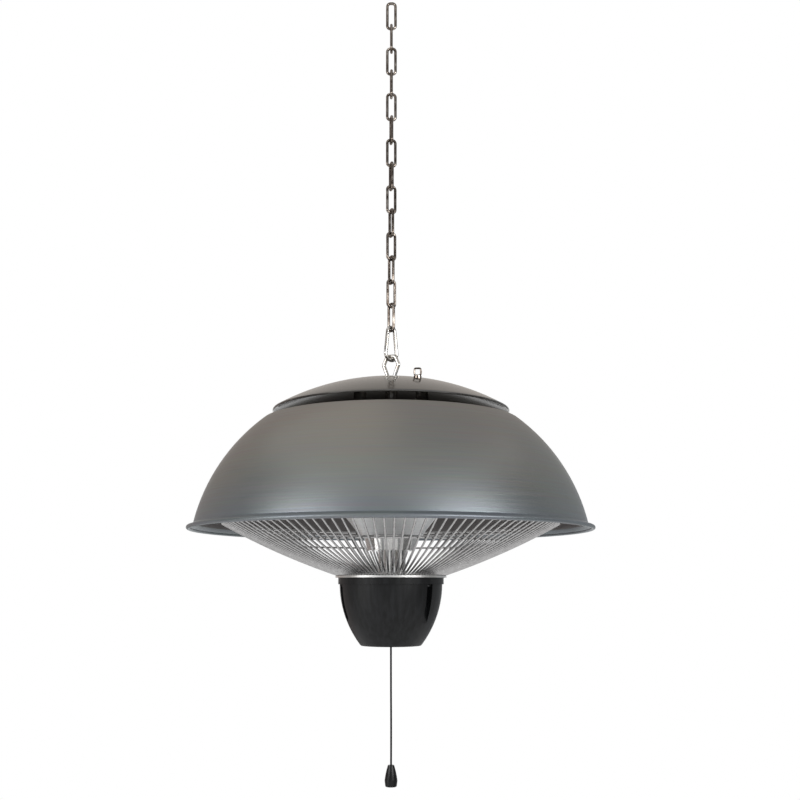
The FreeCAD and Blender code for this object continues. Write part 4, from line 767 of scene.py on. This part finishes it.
surround = bpy.data.worlds.new("white_surround")
surround.use_nodes = True
tree = surround.node_tree
tree.nodes.clear()
dim = node(tree, "ShaderNodeBackground", {"Color": linear("#FFFFFF"), "Strength": SURROUND_LIGHT})
white = node(tree, "ShaderNodeBackground", {"Color": linear("#FFFFFF"), "Strength": 1.0})
mixed = node(tree, "ShaderNodeMixShader", {0: sight(tree), 1: dim.outputs[0], 2: white.outputs[0]})
node(tree, "ShaderNodeOutputWorld", {"Surface": mixed.outputs[0]})
bpy.context.scene.world = surround


def flag(name, place, aim, width, height, grey):
    """Dark or pale card that glows with its grey, faces a point and only shows as a reflection."""
    card_mesh = bpy.data.meshes.new(name)
    w, h = width / 2, height / 2
    card_mesh.from_pydata([(-w, -h, 0), (w, -h, 0), (w, h, 0), (-w, h, 0)], [], [(0, 1, 2, 3)])
    turn = (Vector(aim) - Vector(place)).to_track_quat("Z", "Y").to_matrix().to_4x4()
    card_mesh.transform(Matrix.Translation(place) @ turn)
    reflected_glow = bpy.data.materials.new(name + "_felt")
    reflected_glow.use_nodes = True
    reflected_glow.node_tree.nodes.clear()
    glow = node(reflected_glow.node_tree, "ShaderNodeEmission", {"Color": linear(grey), "Strength": 1.0})
    node(reflected_glow.node_tree, "ShaderNodeOutputMaterial", {"Surface": glow.outputs[0]})
    card_mesh.materials.append(reflected_glow)
    card = bpy.data.objects.new(name, card_mesh)
    bpy.context.scene.collection.objects.link(card)
    card.visible_camera = False
    card.visible_diffuse = False
    card.visible_shadow = False


# The soft boxes leave out the glossy cap, which would mirror them as white patches from behind.
unlit = bpy.data.collections.new("left_out_by_soft_boxes")
unlit.objects.link(rain_cap)
unlit.collection_objects[0].light_linking.link_state = "EXCLUDE"


def soft_box(name, place, aim, width, height, power):
    """Area lamp that faces a point and lights all but the cap."""
    lamp = bpy.data.lights.new(name, "AREA")
    lamp.shape = "RECTANGLE"
    lamp.size, lamp.size_y = width, height
    lamp.energy = power
    box = bpy.data.objects.new(name, lamp)
    box.location = place
    box.rotation_euler = (Vector(aim) - Vector(place)).to_track_quat("-Z", "Y").to_euler()
    bpy.context.scene.collection.objects.link(box)
    box.light_linking.receiver_collection = unlit


HEATER_MIDDLE = (0, 0, RIM_Z + 0.03)
flag("flag_front", (0, -3.2, RIM_Z), HEATER_MIDDLE, 6.0, 5.0, "#A0A2A4")
flag("level_card", (0.6, -3.0, RIM_Z - 0.06), HEATER_MIDDLE, 1.8, 0.6, "#FFFFFF")
flag("low_card", (0, -2.7, RIM_Z - 0.95), HEATER_MIDDLE, 3.4, 1.2, "#FFFFFF")
flag("level_flag_left", (-1.7, -3.0, RIM_Z - 0.06), HEATER_MIDDLE, 2.4, 0.6, "#161616")
flag("level_flag_right", (2.6, -2.4, RIM_Z - 0.06), HEATER_MIDDLE, 1.6, 0.6, "#161616")
flag("low_flag_left", (-2.0, 2.4, RIM_Z - 1.0), HEATER_MIDDLE, 2.6, 1.5, "#1C1A19")
flag("low_flag_right", (2.2, 2.4, RIM_Z - 1.0), HEATER_MIDDLE, 2.4, 1.5, "#2C2C2C")
flag("flag_right", (2.6, -0.4, RIM_Z + 0.2), HEATER_MIDDLE, 2.2, 4.0, "#747474")
flag("flag_left", (-2.6, -0.4, RIM_Z + 0.2), HEATER_MIDDLE, 2.2, 4.0, "#807A76")
flag("flag_back_right", (2.0, 1.7, RIM_Z + 0.3), HEATER_MIDDLE, 2.2, 4.0, "#B0B2B4")
flag("flag_back_left", (-2.0, 1.7, RIM_Z + 0.3), HEATER_MIDDLE, 2.2, 4.0, "#B6ACA8")
flag("flag_back", (0, 2.3, RIM_Z + 2.05), HEATER_MIDDLE, 4.0, 2.75, "#BEB8B2")
flag("flag_top_left", (-1.3, 0, 2.6), (-1.3, 0, 0), 2.6, 5.0, "#F6F4F0")
flag("flag_top_right", (1.3, 0, 2.6), (1.3, 0, 0), 2.6, 5.0, "#B4B9C0")
soft_box("key_right", (1.5, -1.7, RIM_Z + 0.6), HEATER_MIDDLE, 1.5, 0.7, 30)
soft_box("fill_left", (-1.7, -1.5, RIM_Z + 0.6), HEATER_MIDDLE, 1.5, 0.7, 22)
soft_box("low_left", (-2.0, -0.9, RIM_Z - 0.5), HEATER_MIDDLE, 1.0, 0.8, 6)

bpy.context.scene.view_settings.view_transform = "Standard"
